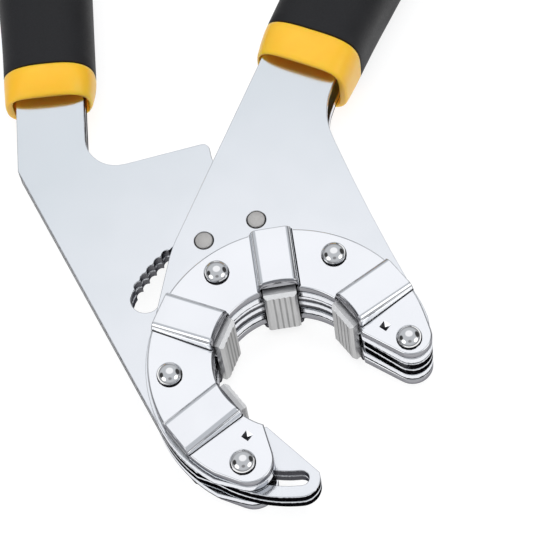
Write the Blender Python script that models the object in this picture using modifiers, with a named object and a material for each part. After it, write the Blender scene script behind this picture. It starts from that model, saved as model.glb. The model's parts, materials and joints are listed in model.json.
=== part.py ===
"""Squeeze wrench with an open head: two laminated handles turn about the centre of the head and slide four
jaws in and out together.

Metres, +Z up. The wrench lies on its back. Every plate is drawn about the centre of the head, with the top
jaw towards +Y, and the whole wrench then moves so that the middle of its footprint is at the origin.
"""

import math

import bmesh
import bpy
from mathutils import Matrix, Vector

OBJECT_NAME = "open_head_squeeze_wrench"

# Gaps between pieces
LAYER_GAP = 0.0003
FASTENER_GAP = 0.0002
RUNNING_GAP = 0.0001
CUT_OVERRUN = 0.003

# Thicknesses of the laminated head, from the middle outwards
LEFT_PLATE_THICKNESS = 0.0028
RIGHT_PLATE_THICKNESS = 0.0025
COVER_THICKNESS = 0.0024
RIB_INNER_RISE = 0.0033
RIB_OUTER_RISE = 0.0019

# Head. Its inner edge and its rivets lie at fixed shares of the plates' outer radius.
HEAD_PLATE_RADIUS = 0.0331
HEAD_INNER_SHARE = 0.5257
RIVET_CIRCLE_SHARE = 0.8278
COVER_EDGE_INSET = 0.0007
LEFT_PLATE_EDGE_INSET = 0.0004
HEAD_INNER_RADIUS = HEAD_PLATE_RADIUS * HEAD_INNER_SHARE
RIVET_CIRCLE_RADIUS = HEAD_PLATE_RADIUS * RIVET_CIRCLE_SHARE
COVER_RADIUS = HEAD_PLATE_RADIUS - COVER_EDGE_INSET
LEFT_PLATE_INNER_RADIUS = HEAD_INNER_RADIUS + LEFT_PLATE_EDGE_INSET
RIVET_ANGLES_DEG = (0, 60, 120, 180, 240)
JAW_ANGLES_DEG = (30, 90, 150, 210)
MOUTH_FIRST_DEG = 11
MOUTH_LAST_DEG = 242
FIRST_BOSS_OUTSET = 0.0005
FIRST_BOSS_CIRCLE_RADIUS = RIVET_CIRCLE_RADIUS + FIRST_BOSS_OUTSET
FIRST_BOSS_DEG = 1
FIRST_BOSS_RADIUS = 0.0048
FIRST_BOSS_BLEND_DEG = 10
LAST_BOSS_INSET = 0.001
LAST_BOSS_CIRCLE_RADIUS = RIVET_CIRCLE_RADIUS - LAST_BOSS_INSET
LAST_BOSS_DEG = 242
LAST_BOSS_RADIUS = 0.0056
LAST_BOSS_BLEND_DEG = 231

# Cover ribs and punched marks
RIB_BASE_WIDTH = 0.01
RIB_TOP_WIDTH = 0.0091
RIB_EDGE_RADIUS = 0.0009
RIB_END_INSET = 0.0002
RIB_OUTER_REACH = COVER_RADIUS - RIB_END_INSET
MARK_WIDTH = 0.0019
MARK_DEPTH = 0.0007
MARK_REACH_SHARES = (0.36, 0.26)
MARK_ANGLES_DEG = (9.5, 235.9)

# Rivets, guide pins and jaw pins
RIVET_SHOULDER_RADIUS = 0.00165
RIVET_TENON_RADIUS = 0.00125
RIVET_DOME_RADIUS = 0.00295
RIVET_DOME_HEIGHT = 0.002
RIVET_DOME_RIM = 0.0003
GUIDE_PIN_RADIUS = 0.0021
GUIDE_PIN_OUTSET = 0.0043
GUIDE_PIN_CIRCLE_RADIUS = HEAD_PLATE_RADIUS + GUIDE_PIN_OUTSET
GUIDE_PIN_ANGLES_DEG = (94.4, 114.8)
GUIDE_PIN_PROUD = 0.0003
GUIDE_PIN_BEVEL = 0.0003
JAW_PIN_RADIUS = 0.001

# Jaws. Their faces stand inside the head's inner edge, and their tails end with the raised channels.
JAW_WIDTH = 0.0077
JAW_OPEN_REACH = 0.0026
JAW_ROOF_GAP = 0.0004
JAW_FACE_CLOSED_RADIUS = 0.0063
JAW_CAP_LENGTH = 0.0085
JAW_PIN_EDGE_DISTANCE = 0.0017
JAW_FACE_OPEN_RADIUS = HEAD_INNER_RADIUS - JAW_OPEN_REACH
JAW_OUTER_RADIUS = RIB_OUTER_REACH
JAW_SHOULDER_RADIUS = JAW_OUTER_RADIUS - JAW_CAP_LENGTH
JAW_PIN_OPEN_RADIUS = JAW_OUTER_RADIUS - JAW_PIN_EDGE_DISTANCE
JAW_FACE_THICKNESS = 0.0019
JAW_EDGE_CHAMFER = 0.0009
JAW_CORNER_CHAMFER = 0.0006
JAW_GROOVES = 4
JAW_GROOVE_WIDTH = 0.0009
JAW_GROOVE_DEPTH = 0.00035

# Motion
SQUEEZE_DEG = 26.5
STOP_CLEARANCE_DEG = 0.4
JAW_TRAVEL = JAW_FACE_OPEN_RADIUS - JAW_FACE_CLOSED_RADIUS

# Right handle plates
RIGHT_DIRECTION_DEG = 60
RIGHT_AXIS_INSET = 0.0057
RIGHT_AXIS_OFFSET = HEAD_PLATE_RADIUS - RIGHT_AXIS_INSET
RIGHT_TANG_WIDTH = 0.019
RIGHT_FLANK_START_DEG = 23.5
RIGHT_NECK_REACH = 0.063
RIGHT_NECK_FILLET = 0.02
RIGHT_BEND_REACH = 0.0169
RIGHT_BEND_FILLET = 0.02
RIGHT_SHOULDER_END_DEG = 155

# Left handle plates
LEFT_DIRECTION_DEG = 86.5
LEFT_AXIS_OFFSET = 0.0533
LEFT_TANG_WIDTH = 0.0166
LEFT_BOW_START_DEG = 57
LEFT_BOW_REACH = 0.0431
LEFT_BOW_OFFSET = 0.0019
LEFT_BOW_FILLET = 0.004
LEFT_STEP_REACH = 0.0554
LEFT_STEP_OFFSET = -0.0146
LEFT_STEP_FILLET = 0.003
LEFT_TIP_REACH = 0.0608
LEFT_TIP_OFFSET = -0.0153
LEFT_TIP_FILLET = 0.0018
LEFT_CROOK_REACH = 0.0556
LEFT_CROOK_FILLET = 0.008
LEFT_HEEL_REACH = 0.0582
TAIL_START_DEG = 222
TAIL_BLEND_DEG = 231
TAIL_TIP_RADIUS = 0.0045
TAIL_EDGE_INSET = 0.0029
TAIL_EDGE_DISTANCE = HEAD_INNER_RADIUS - TAIL_EDGE_INSET
TAIL_EDGE_NORMAL_DEG = 218.7
TAIL_EDGE_START_DEG = 241.5
TAIL_INNER_END_DEG = 234

# Serrated slot of the left plates, in which the guide pins run
GUIDE_PIN_SLOT_CLEARANCE = 0.0005
SLOT_STEP = 0.002
SLOT_INNER_RADIUS = GUIDE_PIN_CIRCLE_RADIUS - GUIDE_PIN_RADIUS - GUIDE_PIN_SLOT_CLEARANCE
SLOT_NARROW_OUTER_RADIUS = GUIDE_PIN_CIRCLE_RADIUS + GUIDE_PIN_RADIUS + GUIDE_PIN_SLOT_CLEARANCE
SLOT_OUTER_RADIUS = SLOT_NARROW_OUTER_RADIUS + SLOT_STEP
SLOT_WIDE_START_DEG = 118.7
SLOT_END_DEG = 143.9
SERRATION_COUNT = 5
SERRATION_FIRST_DEG = 126.9
SERRATION_PITCH_DEG = 3.5
SERRATION_RADIUS = 0.0014
SERRATION_SINK = 0.0007
SERRATION_CENTRE_RADIUS = SLOT_OUTER_RADIUS - SERRATION_SINK

# Grips
GRIP_LENGTH = 0.128
RIGHT_GRIP_START = 0.0726
RIGHT_GRIP_WIDTH = 0.0243
RIGHT_GRIP_DEPTH = 0.0208
RIGHT_GRIP_SQUARENESS = 3.4
RIGHT_MOUTH_DEPTH = 0.0186
RIGHT_COLLAR_LENGTH = 0.0087
RIGHT_COLLAR_TAPER = 0.0009
RIGHT_PALM_FLARE = 0.0009
LEFT_GRIP_START = 0.0767
LEFT_GRIP_WIDTH = 0.0223
LEFT_GRIP_DEPTH = 0.0174
LEFT_GRIP_SQUARENESS = 2.7
LEFT_MOUTH_DEPTH = 0.0126
LEFT_COLLAR_LENGTH = 0.0075
LEFT_COLLAR_TAPER = 0.0012
LEFT_PALM_FLARE = 0.0004
FLARE_LENGTH = 0.0265
COLLAR_LIP = 0.0009
COLLAR_WALL = 0.0013
COLLAR_FLOOR = 0.0012
COLLAR_SIDE_ROOM = 0.0009
MOUTH_SQUARENESS = 5
SLEEVE_THICKNESS = 0.0022
SLEEVE_PALM_SWELL = 0.0026
SLEEVE_END_THICKNESS = 0.004
SLEEVE_END_ROUNDING = 0.006
TANG_STEP = 0.0055
TANG_WIDTH = 0.0132
TANG_END_CLEARANCE = 0.018
TANG_CORNER_RADIUS = 0.004
TANG_RIVET_RADIUS = 0.0019
TANG_RIVET_REACH = 0.03
TANG_RIVET_SPACING = 0.05
TANG_SPACER_START = 0.014

# Facets
ARC_STEP_DEG = 4.5
FINE_STEP_DEG = 22.5
ROUND_STEPS = 16
SECTION_POINTS = 24

# Layer heights above the middle plane of the head
LEFT_PLATE_LOW = LAYER_GAP / 2
LEFT_PLATE_HIGH = LEFT_PLATE_LOW + LEFT_PLATE_THICKNESS
RIGHT_PLATE_LOW = LEFT_PLATE_HIGH + LAYER_GAP
RIGHT_PLATE_HIGH = RIGHT_PLATE_LOW + RIGHT_PLATE_THICKNESS
COVER_LOW = RIGHT_PLATE_HIGH + LAYER_GAP
COVER_HIGH = COVER_LOW + COVER_THICKNESS
RIB_INNER_LOW = COVER_LOW + RIB_INNER_RISE
RIB_OUTER_LOW = COVER_LOW + RIB_OUTER_RISE
JAW_HIGH = RIB_INNER_LOW - JAW_ROOF_GAP
JAW_OUTER_HIGH = RIB_OUTER_LOW - JAW_ROOF_GAP

# Sizes that follow from the ones above
CHANNEL_HALF_WIDTH = JAW_WIDTH / 2 + LAYER_GAP
JAW_PIN_SLOT_HALF_WIDTH = JAW_PIN_RADIUS + RUNNING_GAP
RIVET_SLOT_HALF_WIDTH = RIVET_SHOULDER_RADIUS + RUNNING_GAP
NOTCH_RADIUS = JAW_SHOULDER_RADIUS + LAYER_GAP

# Colours, roughness and metallic values
CHROME = ((0.80, 0.82, 0.85, 1), 0.16, 1)
MIRROR_CHROME = ((0.82, 0.83, 0.84, 1), 0.06, 1)
PIN_STEEL = ((0.62, 0.60, 0.57, 1), 0.45, 1)
JAW_STEEL = ((0.46, 0.46, 0.46, 1), 0.38, 1)
YELLOW_PLASTIC = ((0.98, 0.56, 0.03, 1), 0.35, 0)
BLACK_RUBBER = ((0.025, 0.025, 0.028, 1), 0.8, 0)


def clear_scene():
    for old in list(bpy.data.objects):
        bpy.data.objects.remove(old, do_unlink=True)


def new_collection(name, hidden=False):
    collection = bpy.data.collections.new(name)
    bpy.context.scene.collection.children.link(collection)
    collection.hide_render = hidden
    return collection


def material(name, finish):
    colour, roughness, metallic = finish
    made = bpy.data.materials.new(name)
    made.use_nodes = True
    shader = made.node_tree.nodes["Principled BSDF"]
    shader.inputs["Base Color"].default_value = colour
    shader.inputs["Roughness"].default_value = roughness
    shader.inputs["Metallic"].default_value = metallic
    made.diffuse_color = colour
    return made


# Points of the flat outlines

def polar(radius, degrees):
    return Vector((radius * math.cos(math.radians(degrees)), radius * math.sin(math.radians(degrees))))


def heading(vector):
    return math.degrees(math.atan2(vector.y, vector.x))


def arc(centre, radius, start_deg, end_deg, step_deg=ARC_STEP_DEG):
    """Points of an arc, both ends included."""
    count = max(1, math.ceil(abs(end_deg - start_deg) / step_deg))
    turns = [start_deg + (end_deg - start_deg) * n / count for n in range(count + 1)]
    return [centre + polar(radius, turn) for turn in turns]


def head_arc(radius, start_deg, end_deg):
    return arc(Vector((0, 0)), radius, start_deg, end_deg)


def circle(centre, radius, steps=ROUND_STEPS):
    return [centre + polar(radius, 360 * n / steps) for n in range(steps)]


def fillet(before, corner, after, radius):
    """Points of the arc that rounds one corner."""
    to_before = (before - corner).normalized()
    to_after = (after - corner).normalized()
    half = to_before.angle(to_after) / 2
    centre = corner + (to_before + to_after).normalized() * (radius / math.sin(half))
    start = heading(corner + to_before * (radius / math.tan(half)) - centre)
    end = heading(corner + to_after * (radius / math.tan(half)) - centre)
    sweep = (end - start + 180) % 360 - 180
    return arc(centre, radius, start, start + sweep, FINE_STEP_DEG / 2)


def rounded(start, corners, end):
    """Points between two ends past corners, each given as its place and its fillet radius."""
    places = [start] + [place for place, _ in corners] + [end]
    points = []
    for index, (place, radius) in enumerate(corners):
        points += fillet(places[index], place, places[index + 2], radius)
    return points


def boss_end(centre, radius, start, end):
    """The arc of a boss between its tangents from two outside points, counter-clockwise."""
    to_start = start - centre
    to_end = end - centre
    first = heading(to_start) + math.degrees(math.acos(radius / to_start.length))
    last = heading(to_end) - math.degrees(math.acos(radius / to_end.length))
    return arc(centre, radius, first, first + (last - first) % 360, FINE_STEP_DEG / 2)


def arc_slot(radius, half_width, start_deg, end_deg, end_radius=None):
    """A slot whose middle line runs from one radius and angle to another, with round ends."""
    end_radius = radius if end_radius is None else end_radius
    count = max(1, math.ceil((end_deg - start_deg) / ARC_STEP_DEG))
    shares = [n / count for n in range(count + 1)]
    line = [
        polar(radius + (end_radius - radius) * share, start_deg + (end_deg - start_deg) * share)
        for share in shares
    ]
    first = (line[1] - line[0]).normalized()
    last = (line[-1] - line[-2]).normalized()
    ways = [first] + [(line[n + 1] - line[n - 1]).normalized() for n in range(1, count)] + [last]
    right = [point + Vector((way.y, -way.x)) * half_width for point, way in zip(line, ways)]
    left = [point - Vector((way.y, -way.x)) * half_width for point, way in zip(line, ways)]
    far = arc(line[-1], half_width, heading(last) - 90, heading(last) + 90, FINE_STEP_DEG)
    near = arc(line[0], half_width, heading(first) + 90, heading(first) + 270, FINE_STEP_DEG)
    return right[:-1] + far + left[-2:0:-1] + near[:-1]


class HandleFrame:
    """Places along and across one handle's axis, seen from the centre of the head."""

    def __init__(self, direction_deg, axis_offset):
        self.along = polar(1, direction_deg)
        self.across = Vector((self.along.y, -self.along.x))
        self.direction_deg = direction_deg
        self.axis_offset = axis_offset

    def place(self, reach, offset):
        """The point this far along the handle and this far to its right of the head's centre."""
        return self.along * reach + self.across * offset

    def beside(self, reach, lateral):
        """The point this far along the handle and this far to the right of the handle's own axis."""
        return self.place(reach, lateral - self.axis_offset)


RIGHT = HandleFrame(RIGHT_DIRECTION_DEG, RIGHT_AXIS_OFFSET)
LEFT = HandleFrame(LEFT_DIRECTION_DEG, LEFT_AXIS_OFFSET)
RIGHT_TANG_END = RIGHT_GRIP_START + GRIP_LENGTH - TANG_END_CLEARANCE
LEFT_TANG_END = LEFT_GRIP_START + GRIP_LENGTH - TANG_END_CLEARANCE
FIRST_BOSS = polar(FIRST_BOSS_CIRCLE_RADIUS, FIRST_BOSS_DEG)
LAST_BOSS = polar(LAST_BOSS_CIRCLE_RADIUS, LAST_BOSS_DEG)


def first_end(inner_radius, outer_radius):
    """The rounded end of the head beside the first rivet, from its inner corner to its outer arc."""
    inner = polar(inner_radius, MOUTH_FIRST_DEG)
    outer = polar(outer_radius, FIRST_BOSS_BLEND_DEG)
    return [inner] + boss_end(FIRST_BOSS, FIRST_BOSS_RADIUS, inner, outer)


def last_end(inner_radius, outer_radius):
    """The rounded end of the head beside the last rivet, from its outer arc to its inner corner."""
    outer = polar(outer_radius, LAST_BOSS_BLEND_DEG)
    inner = polar(inner_radius, MOUTH_LAST_DEG)
    return boss_end(LAST_BOSS, LAST_BOSS_RADIUS, outer, inner) + [inner]


def tang(frame, width, grip_start, end):
    """A tang from its right side round to its left side: it narrows inside the mouth of the grip."""
    step = grip_start + TANG_STEP
    corners = [
        (frame.beside(end, TANG_WIDTH / 2), TANG_CORNER_RADIUS),
        (frame.beside(end, -TANG_WIDTH / 2), TANG_CORNER_RADIUS),
    ]
    right = frame.beside(step, TANG_WIDTH / 2)
    left = frame.beside(step, -TANG_WIDTH / 2)
    return (
        [frame.beside(step, width / 2), right]
        + rounded(right, corners, left)
        + [left, frame.beside(step, -width / 2)]
    )


def jaw_notch(angle_deg):
    """The notch for one jaw and the slot for its pin, in clockwise order round the head's inner edge."""
    out = polar(1, angle_deg)
    side = Vector((-out.y, out.x))
    depth = math.sqrt(HEAD_INNER_RADIUS**2 - CHANNEL_HALF_WIDTH**2)
    tip = out * JAW_PIN_OPEN_RADIUS
    round_end = arc(tip, JAW_PIN_SLOT_HALF_WIDTH, angle_deg + 90, angle_deg - 90, FINE_STEP_DEG)
    return (
        [out * depth + side * CHANNEL_HALF_WIDTH]
        + [out * NOTCH_RADIUS + side * CHANNEL_HALF_WIDTH]
        + [out * NOTCH_RADIUS + side * JAW_PIN_SLOT_HALF_WIDTH]
        + round_end
        + [out * NOTCH_RADIUS - side * JAW_PIN_SLOT_HALF_WIDTH]
        + [out * NOTCH_RADIUS - side * CHANNEL_HALF_WIDTH]
        + [out * depth - side * CHANNEL_HALF_WIDTH]
    )


def notched_inner_edge():
    """The head's inner edge with its jaw notches, clockwise from the last end to the first."""
    half_deg = math.degrees(math.asin(CHANNEL_HALF_WIDTH / HEAD_INNER_RADIUS))
    points = []
    start = MOUTH_LAST_DEG
    for angle in reversed(JAW_ANGLES_DEG):
        points += head_arc(HEAD_INNER_RADIUS, start, angle + half_deg)[1:-1]
        points += jaw_notch(angle)
        start = angle - half_deg
    return points + head_arc(HEAD_INNER_RADIUS, start, MOUTH_FIRST_DEG)[1:-1]


def right_plate_outline():
    flank = polar(HEAD_PLATE_RADIUS, RIGHT_FLANK_START_DEG)
    shoulder = polar(HEAD_PLATE_RADIUS, RIGHT_SHOULDER_END_DEG)
    neck = RIGHT.beside(RIGHT_NECK_REACH, RIGHT_TANG_WIDTH / 2)
    bend = RIGHT.beside(RIGHT_BEND_REACH, -RIGHT_TANG_WIDTH / 2)
    tang_right = RIGHT.beside(RIGHT_TANG_END, RIGHT_TANG_WIDTH / 2)
    tang_left = RIGHT.beside(RIGHT_TANG_END, -RIGHT_TANG_WIDTH / 2)
    return (
        first_end(HEAD_INNER_RADIUS, HEAD_PLATE_RADIUS)
        + head_arc(HEAD_PLATE_RADIUS, FIRST_BOSS_BLEND_DEG, RIGHT_FLANK_START_DEG)
        + rounded(flank, [(neck, RIGHT_NECK_FILLET)], tang_right)
        + tang(RIGHT, RIGHT_TANG_WIDTH, RIGHT_GRIP_START, RIGHT_TANG_END)
        + rounded(tang_left, [(bend, RIGHT_BEND_FILLET)], shoulder)
        + head_arc(HEAD_PLATE_RADIUS, RIGHT_SHOULDER_END_DEG, LAST_BOSS_BLEND_DEG)
        + last_end(HEAD_INNER_RADIUS, HEAD_PLATE_RADIUS)
        + notched_inner_edge()
    )


def tail_outline():
    """The tail beyond the last rivet, from the head's outer arc round to the head's inner edge."""
    slot_end_deg = RIVET_ANGLES_DEG[-1] + SQUEEZE_DEG
    centre = polar(RIVET_CIRCLE_RADIUS, slot_end_deg)
    outward = polar(1, TAIL_EDGE_NORMAL_DEG)
    past_edge = centre.dot(outward) - TAIL_EDGE_DISTANCE
    last = TAIL_EDGE_NORMAL_DEG + 180 - math.degrees(math.acos(past_edge / TAIL_TIP_RADIUS))
    start_radius = TAIL_EDGE_DISTANCE / math.cos(math.radians(TAIL_EDGE_START_DEG - TAIL_EDGE_NORMAL_DEG))
    tail_radius = RIVET_CIRCLE_RADIUS + TAIL_TIP_RADIUS
    return (
        head_arc(tail_radius, TAIL_BLEND_DEG, slot_end_deg)[:-1]
        + arc(centre, TAIL_TIP_RADIUS, slot_end_deg, last, FINE_STEP_DEG / 2)
        + [polar(start_radius, TAIL_EDGE_START_DEG)]
    )


def left_plate_outline():
    bow_start = polar(HEAD_PLATE_RADIUS, LEFT_BOW_START_DEG)
    bow = LEFT.place(LEFT_BOW_REACH, LEFT_BOW_OFFSET)
    step = LEFT.place(LEFT_STEP_REACH, LEFT_STEP_OFFSET)
    tip = LEFT.place(LEFT_TIP_REACH, LEFT_TIP_OFFSET)
    crook = LEFT.beside(LEFT_CROOK_REACH, LEFT_TANG_WIDTH / 2)
    tang_right = LEFT.beside(LEFT_TANG_END, LEFT_TANG_WIDTH / 2)
    heel = LEFT.beside(LEFT_HEEL_REACH, -LEFT_TANG_WIDTH / 2)
    flank_end_deg = heading(heel) + math.degrees(math.acos(HEAD_PLATE_RADIUS / heel.length))
    shoulder = [
        (bow, LEFT_BOW_FILLET),
        (step, LEFT_STEP_FILLET),
        (tip, LEFT_TIP_FILLET),
        (crook, LEFT_CROOK_FILLET),
    ]
    return (
        first_end(LEFT_PLATE_INNER_RADIUS, HEAD_PLATE_RADIUS)
        + head_arc(HEAD_PLATE_RADIUS, FIRST_BOSS_BLEND_DEG, LEFT_BOW_START_DEG)
        + rounded(bow_start, shoulder, tang_right)
        + tang(LEFT, LEFT_TANG_WIDTH, LEFT_GRIP_START, LEFT_TANG_END)
        + [heel]
        + head_arc(HEAD_PLATE_RADIUS, flank_end_deg, TAIL_START_DEG)
        + tail_outline()
        + head_arc(LEFT_PLATE_INNER_RADIUS, TAIL_INNER_END_DEG, MOUTH_FIRST_DEG)[:-1]
    )


def serrations():
    """Round bites in the slot's outer edge, clockwise from the slot's end."""
    half = math.degrees(
        math.acos(
            (SLOT_OUTER_RADIUS**2 - SERRATION_CENTRE_RADIUS**2 - SERRATION_RADIUS**2)
            / (2 * SERRATION_CENTRE_RADIUS * SERRATION_RADIUS)
        )
    )
    points = []
    for index in reversed(range(SERRATION_COUNT)):
        angle = SERRATION_FIRST_DEG + SERRATION_PITCH_DEG * index
        centre = polar(SERRATION_CENTRE_RADIUS, angle)
        points += arc(centre, SERRATION_RADIUS, angle + half, angle - half, FINE_STEP_DEG)
    return points


def serrated_slot():
    """The wide slot with its serrated outer edge and the narrower stretch for the guide pins."""
    end_radius = (SLOT_OUTER_RADIUS - SLOT_INNER_RADIUS) / 2
    end = polar(SLOT_INNER_RADIUS + end_radius, SLOT_END_DEG)
    near_radius = (SLOT_NARROW_OUTER_RADIUS - SLOT_INNER_RADIUS) / 2
    near_deg = GUIDE_PIN_ANGLES_DEG[0] - STOP_CLEARANCE_DEG
    near = polar(SLOT_INNER_RADIUS + near_radius, near_deg)
    return (
        head_arc(SLOT_INNER_RADIUS, near_deg, SLOT_END_DEG)[:-1]
        + arc(end, end_radius, SLOT_END_DEG - 180, SLOT_END_DEG - 360, FINE_STEP_DEG)
        + serrations()
        + head_arc(SLOT_OUTER_RADIUS, SERRATION_FIRST_DEG - SERRATION_PITCH_DEG, SLOT_WIDE_START_DEG)
        + head_arc(SLOT_NARROW_OUTER_RADIUS, SLOT_WIDE_START_DEG, near_deg)[:-1]
        + arc(near, near_radius, near_deg, near_deg - 180, FINE_STEP_DEG)[:-1]
    )


def rivet_holes(radius):
    return [circle(polar(RIVET_CIRCLE_RADIUS, angle), radius) for angle in RIVET_ANGLES_DEG]


def tang_rivet_places(frame, grip_start):
    first = grip_start + TANG_RIVET_REACH
    return [frame.beside(first + TANG_RIVET_SPACING * n, 0) for n in range(2)]


def tang_rivet_holes(frame, grip_start):
    places = tang_rivet_places(frame, grip_start)
    return [circle(place, TANG_RIVET_RADIUS + FASTENER_GAP) for place in places]


def right_plate_holes():
    pins = [polar(GUIDE_PIN_CIRCLE_RADIUS, angle) for angle in GUIDE_PIN_ANGLES_DEG]
    return (
        rivet_holes(RIVET_TENON_RADIUS + FASTENER_GAP)
        + [circle(place, GUIDE_PIN_RADIUS + FASTENER_GAP) for place in pins]
        + tang_rivet_holes(RIGHT, RIGHT_GRIP_START)
    )


def left_plate_holes():
    holes = [serrated_slot()] + tang_rivet_holes(LEFT, LEFT_GRIP_START)
    for angle in RIVET_ANGLES_DEG:
        start = angle - STOP_CLEARANCE_DEG
        end = angle + SQUEEZE_DEG + STOP_CLEARANCE_DEG
        holes.append(arc_slot(RIVET_CIRCLE_RADIUS, RIVET_SLOT_HALF_WIDTH, start, end))
    spare = JAW_TRAVEL * STOP_CLEARANCE_DEG / SQUEEZE_DEG
    outer = JAW_PIN_OPEN_RADIUS + spare
    inner = JAW_PIN_OPEN_RADIUS - JAW_TRAVEL - spare
    for angle in JAW_ANGLES_DEG:
        start = angle - STOP_CLEARANCE_DEG
        end = angle + SQUEEZE_DEG + STOP_CLEARANCE_DEG
        holes.append(arc_slot(outer, JAW_PIN_SLOT_HALF_WIDTH, start, end, inner))
    return holes


# Solids

def joined(name, meshes_object, collection, finish, parent):
    """Puts a new object in its collection, with its material and its parent."""
    collection.objects.link(meshes_object)
    if finish:
        meshes_object.data.materials.append(material(name + "_finish", finish))
    meshes_object.parent = parent
    return meshes_object


def flat_mesh(name, outlines, half_thickness):
    """The mesh of a plate: its first outline is its edge and the others are holes."""
    curve = bpy.data.curves.new(name, "CURVE")
    curve.dimensions = "2D"
    curve.fill_mode = "BOTH"
    curve.extrude = half_thickness
    for outline in outlines:
        spline = curve.splines.new("POLY")
        spline.points.add(len(outline) - 1)
        for point, place in zip(spline.points, outline):
            point.co = (place.x, place.y, 0, 1)
        spline.use_cyclic_u = True
    holder = bpy.data.objects.new(name + "_curve", curve)
    bpy.context.scene.collection.objects.link(holder)
    graph = bpy.context.evaluated_depsgraph_get()
    mesh = bpy.data.meshes.new_from_object(holder.evaluated_get(graph))
    mesh.name = name
    bpy.data.objects.remove(holder)
    work = bmesh.new()
    work.from_mesh(mesh)
    bmesh.ops.remove_doubles(work, verts=work.verts, dist=RUNNING_GAP / 20)
    bmesh.ops.recalc_face_normals(work, faces=work.faces)
    work.to_mesh(mesh)
    work.free()
    return mesh


def plate(name, outlines, low, high, collection, finish, parent):
    made = bpy.data.objects.new(name, flat_mesh(name, outlines, (high - low) / 2))
    made.location.z = (low + high) / 2
    return joined(name, made, collection, finish, parent)


def turned(name, profile, collection, finish, parent):
    """A piece turned about +Z from a profile of radii and heights that runs down its outer side."""
    mesh = bpy.data.meshes.new(name)
    points = [(radius, 0, height) for radius, height in profile]
    mesh.from_pydata(points, [(n, n + 1) for n in range(len(points) - 1)], [])
    made = bpy.data.objects.new(name, mesh)
    screw = made.modifiers.new("turn", "SCREW")
    screw.axis = "Z"
    screw.steps = ROUND_STEPS
    screw.render_steps = ROUND_STEPS
    screw.use_merge_vertices = True
    screw.merge_threshold = RUNNING_GAP / 10
    screw.use_smooth_shade = True
    return joined(name, made, collection, finish, parent)


def cylinder_profile(radius, low, high, bevel=0):
    if not bevel:
        return [(0, high), (radius, high), (radius, low), (0, low)]
    return [
        (0, high),
        (radius - bevel, high),
        (radius, high - bevel),
        (radius, low + bevel),
        (radius - bevel, low),
        (0, low),
    ]


def boolean(target, cutter, operation, cutters):
    cutters.objects.link(cutter)
    cutter.hide_render = True
    cutter.display_type = "WIRE"
    cutter.parent = target.parent
    modifier = target.modifiers.new(operation.lower(), "BOOLEAN")
    modifier.operation = operation
    modifier.object = cutter
    modifier.solver = "EXACT"


def prism(name, outline, half_thickness, matrix=None):
    made = bpy.data.objects.new(name, flat_mesh(name, [outline], half_thickness))
    if matrix:
        made.matrix_local = matrix
    return made


def upright_matrix(angle_deg):
    """Stands a profile of reach and height up along one radius of the head."""
    turn = Matrix.Rotation(math.radians(angle_deg), 4, "Z")
    return turn @ Matrix(((1, 0, 0, 0), (0, 0, -1, 0), (0, 1, 0, 0), (0, 0, 0, 1)))


def rib_rise(reach):
    """How far a raised channel stands above the flat of its cover: it falls towards its outer end."""
    share = (reach - HEAD_INNER_RADIUS) / (RIB_OUTER_REACH - HEAD_INNER_RADIUS)
    return RIB_INNER_RISE + (RIB_OUTER_RISE - RIB_INNER_RISE) * share


def rib_ring(reach, side):
    """The outline across one raised channel at this reach, with sloping sides and rounded edges."""
    foot = (COVER_LOW + COVER_HIGH) / 2
    inner_height = COVER_HIGH + RIB_INNER_RISE - foot
    height = COVER_HIGH + rib_rise(reach) - foot
    base = RIB_BASE_WIDTH / 2
    top = base - (RIB_BASE_WIDTH - RIB_TOP_WIDTH) / 2 * height / inner_height
    corners = [
        (Vector((top, foot + height)), RIB_EDGE_RADIUS),
        (Vector((-top, foot + height)), RIB_EDGE_RADIUS),
    ]
    first = Vector((base, foot))
    last = Vector((-base, foot))
    ring = [first] + rounded(first, corners, last) + [last]
    return [Vector((point.x, reach, point.y * side)) for point in ring]


def channel_profile(start, end, side):
    """The side view of the space that a jaw slides in under its raised channel."""
    low = (COVER_LOW - CUT_OVERRUN) * side
    points = [(start, low), (end, low)]
    points += [(reach, (COVER_LOW + rib_rise(reach)) * side) for reach in (end, start)]
    return [Vector(point) for point in points]


def mark_cutter(name, place, side):
    """A four sided pyramid that punches one mark in the outer face of a cover."""
    mesh = bpy.data.meshes.new(name)
    work = bmesh.new()
    proud = MARK_DEPTH
    bmesh.ops.create_cone(
        work,
        cap_ends=True,
        segments=4,
        radius1=MARK_WIDTH / math.sqrt(2) * 2,
        radius2=0,
        depth=MARK_DEPTH + proud,
        matrix=Matrix.Rotation(math.pi if side > 0 else 0, 4, "X"),
    )
    work.to_mesh(mesh)
    work.free()
    made = bpy.data.objects.new(name, mesh)
    made.location = (place.x, place.y, COVER_HIGH * side)
    return made


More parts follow.
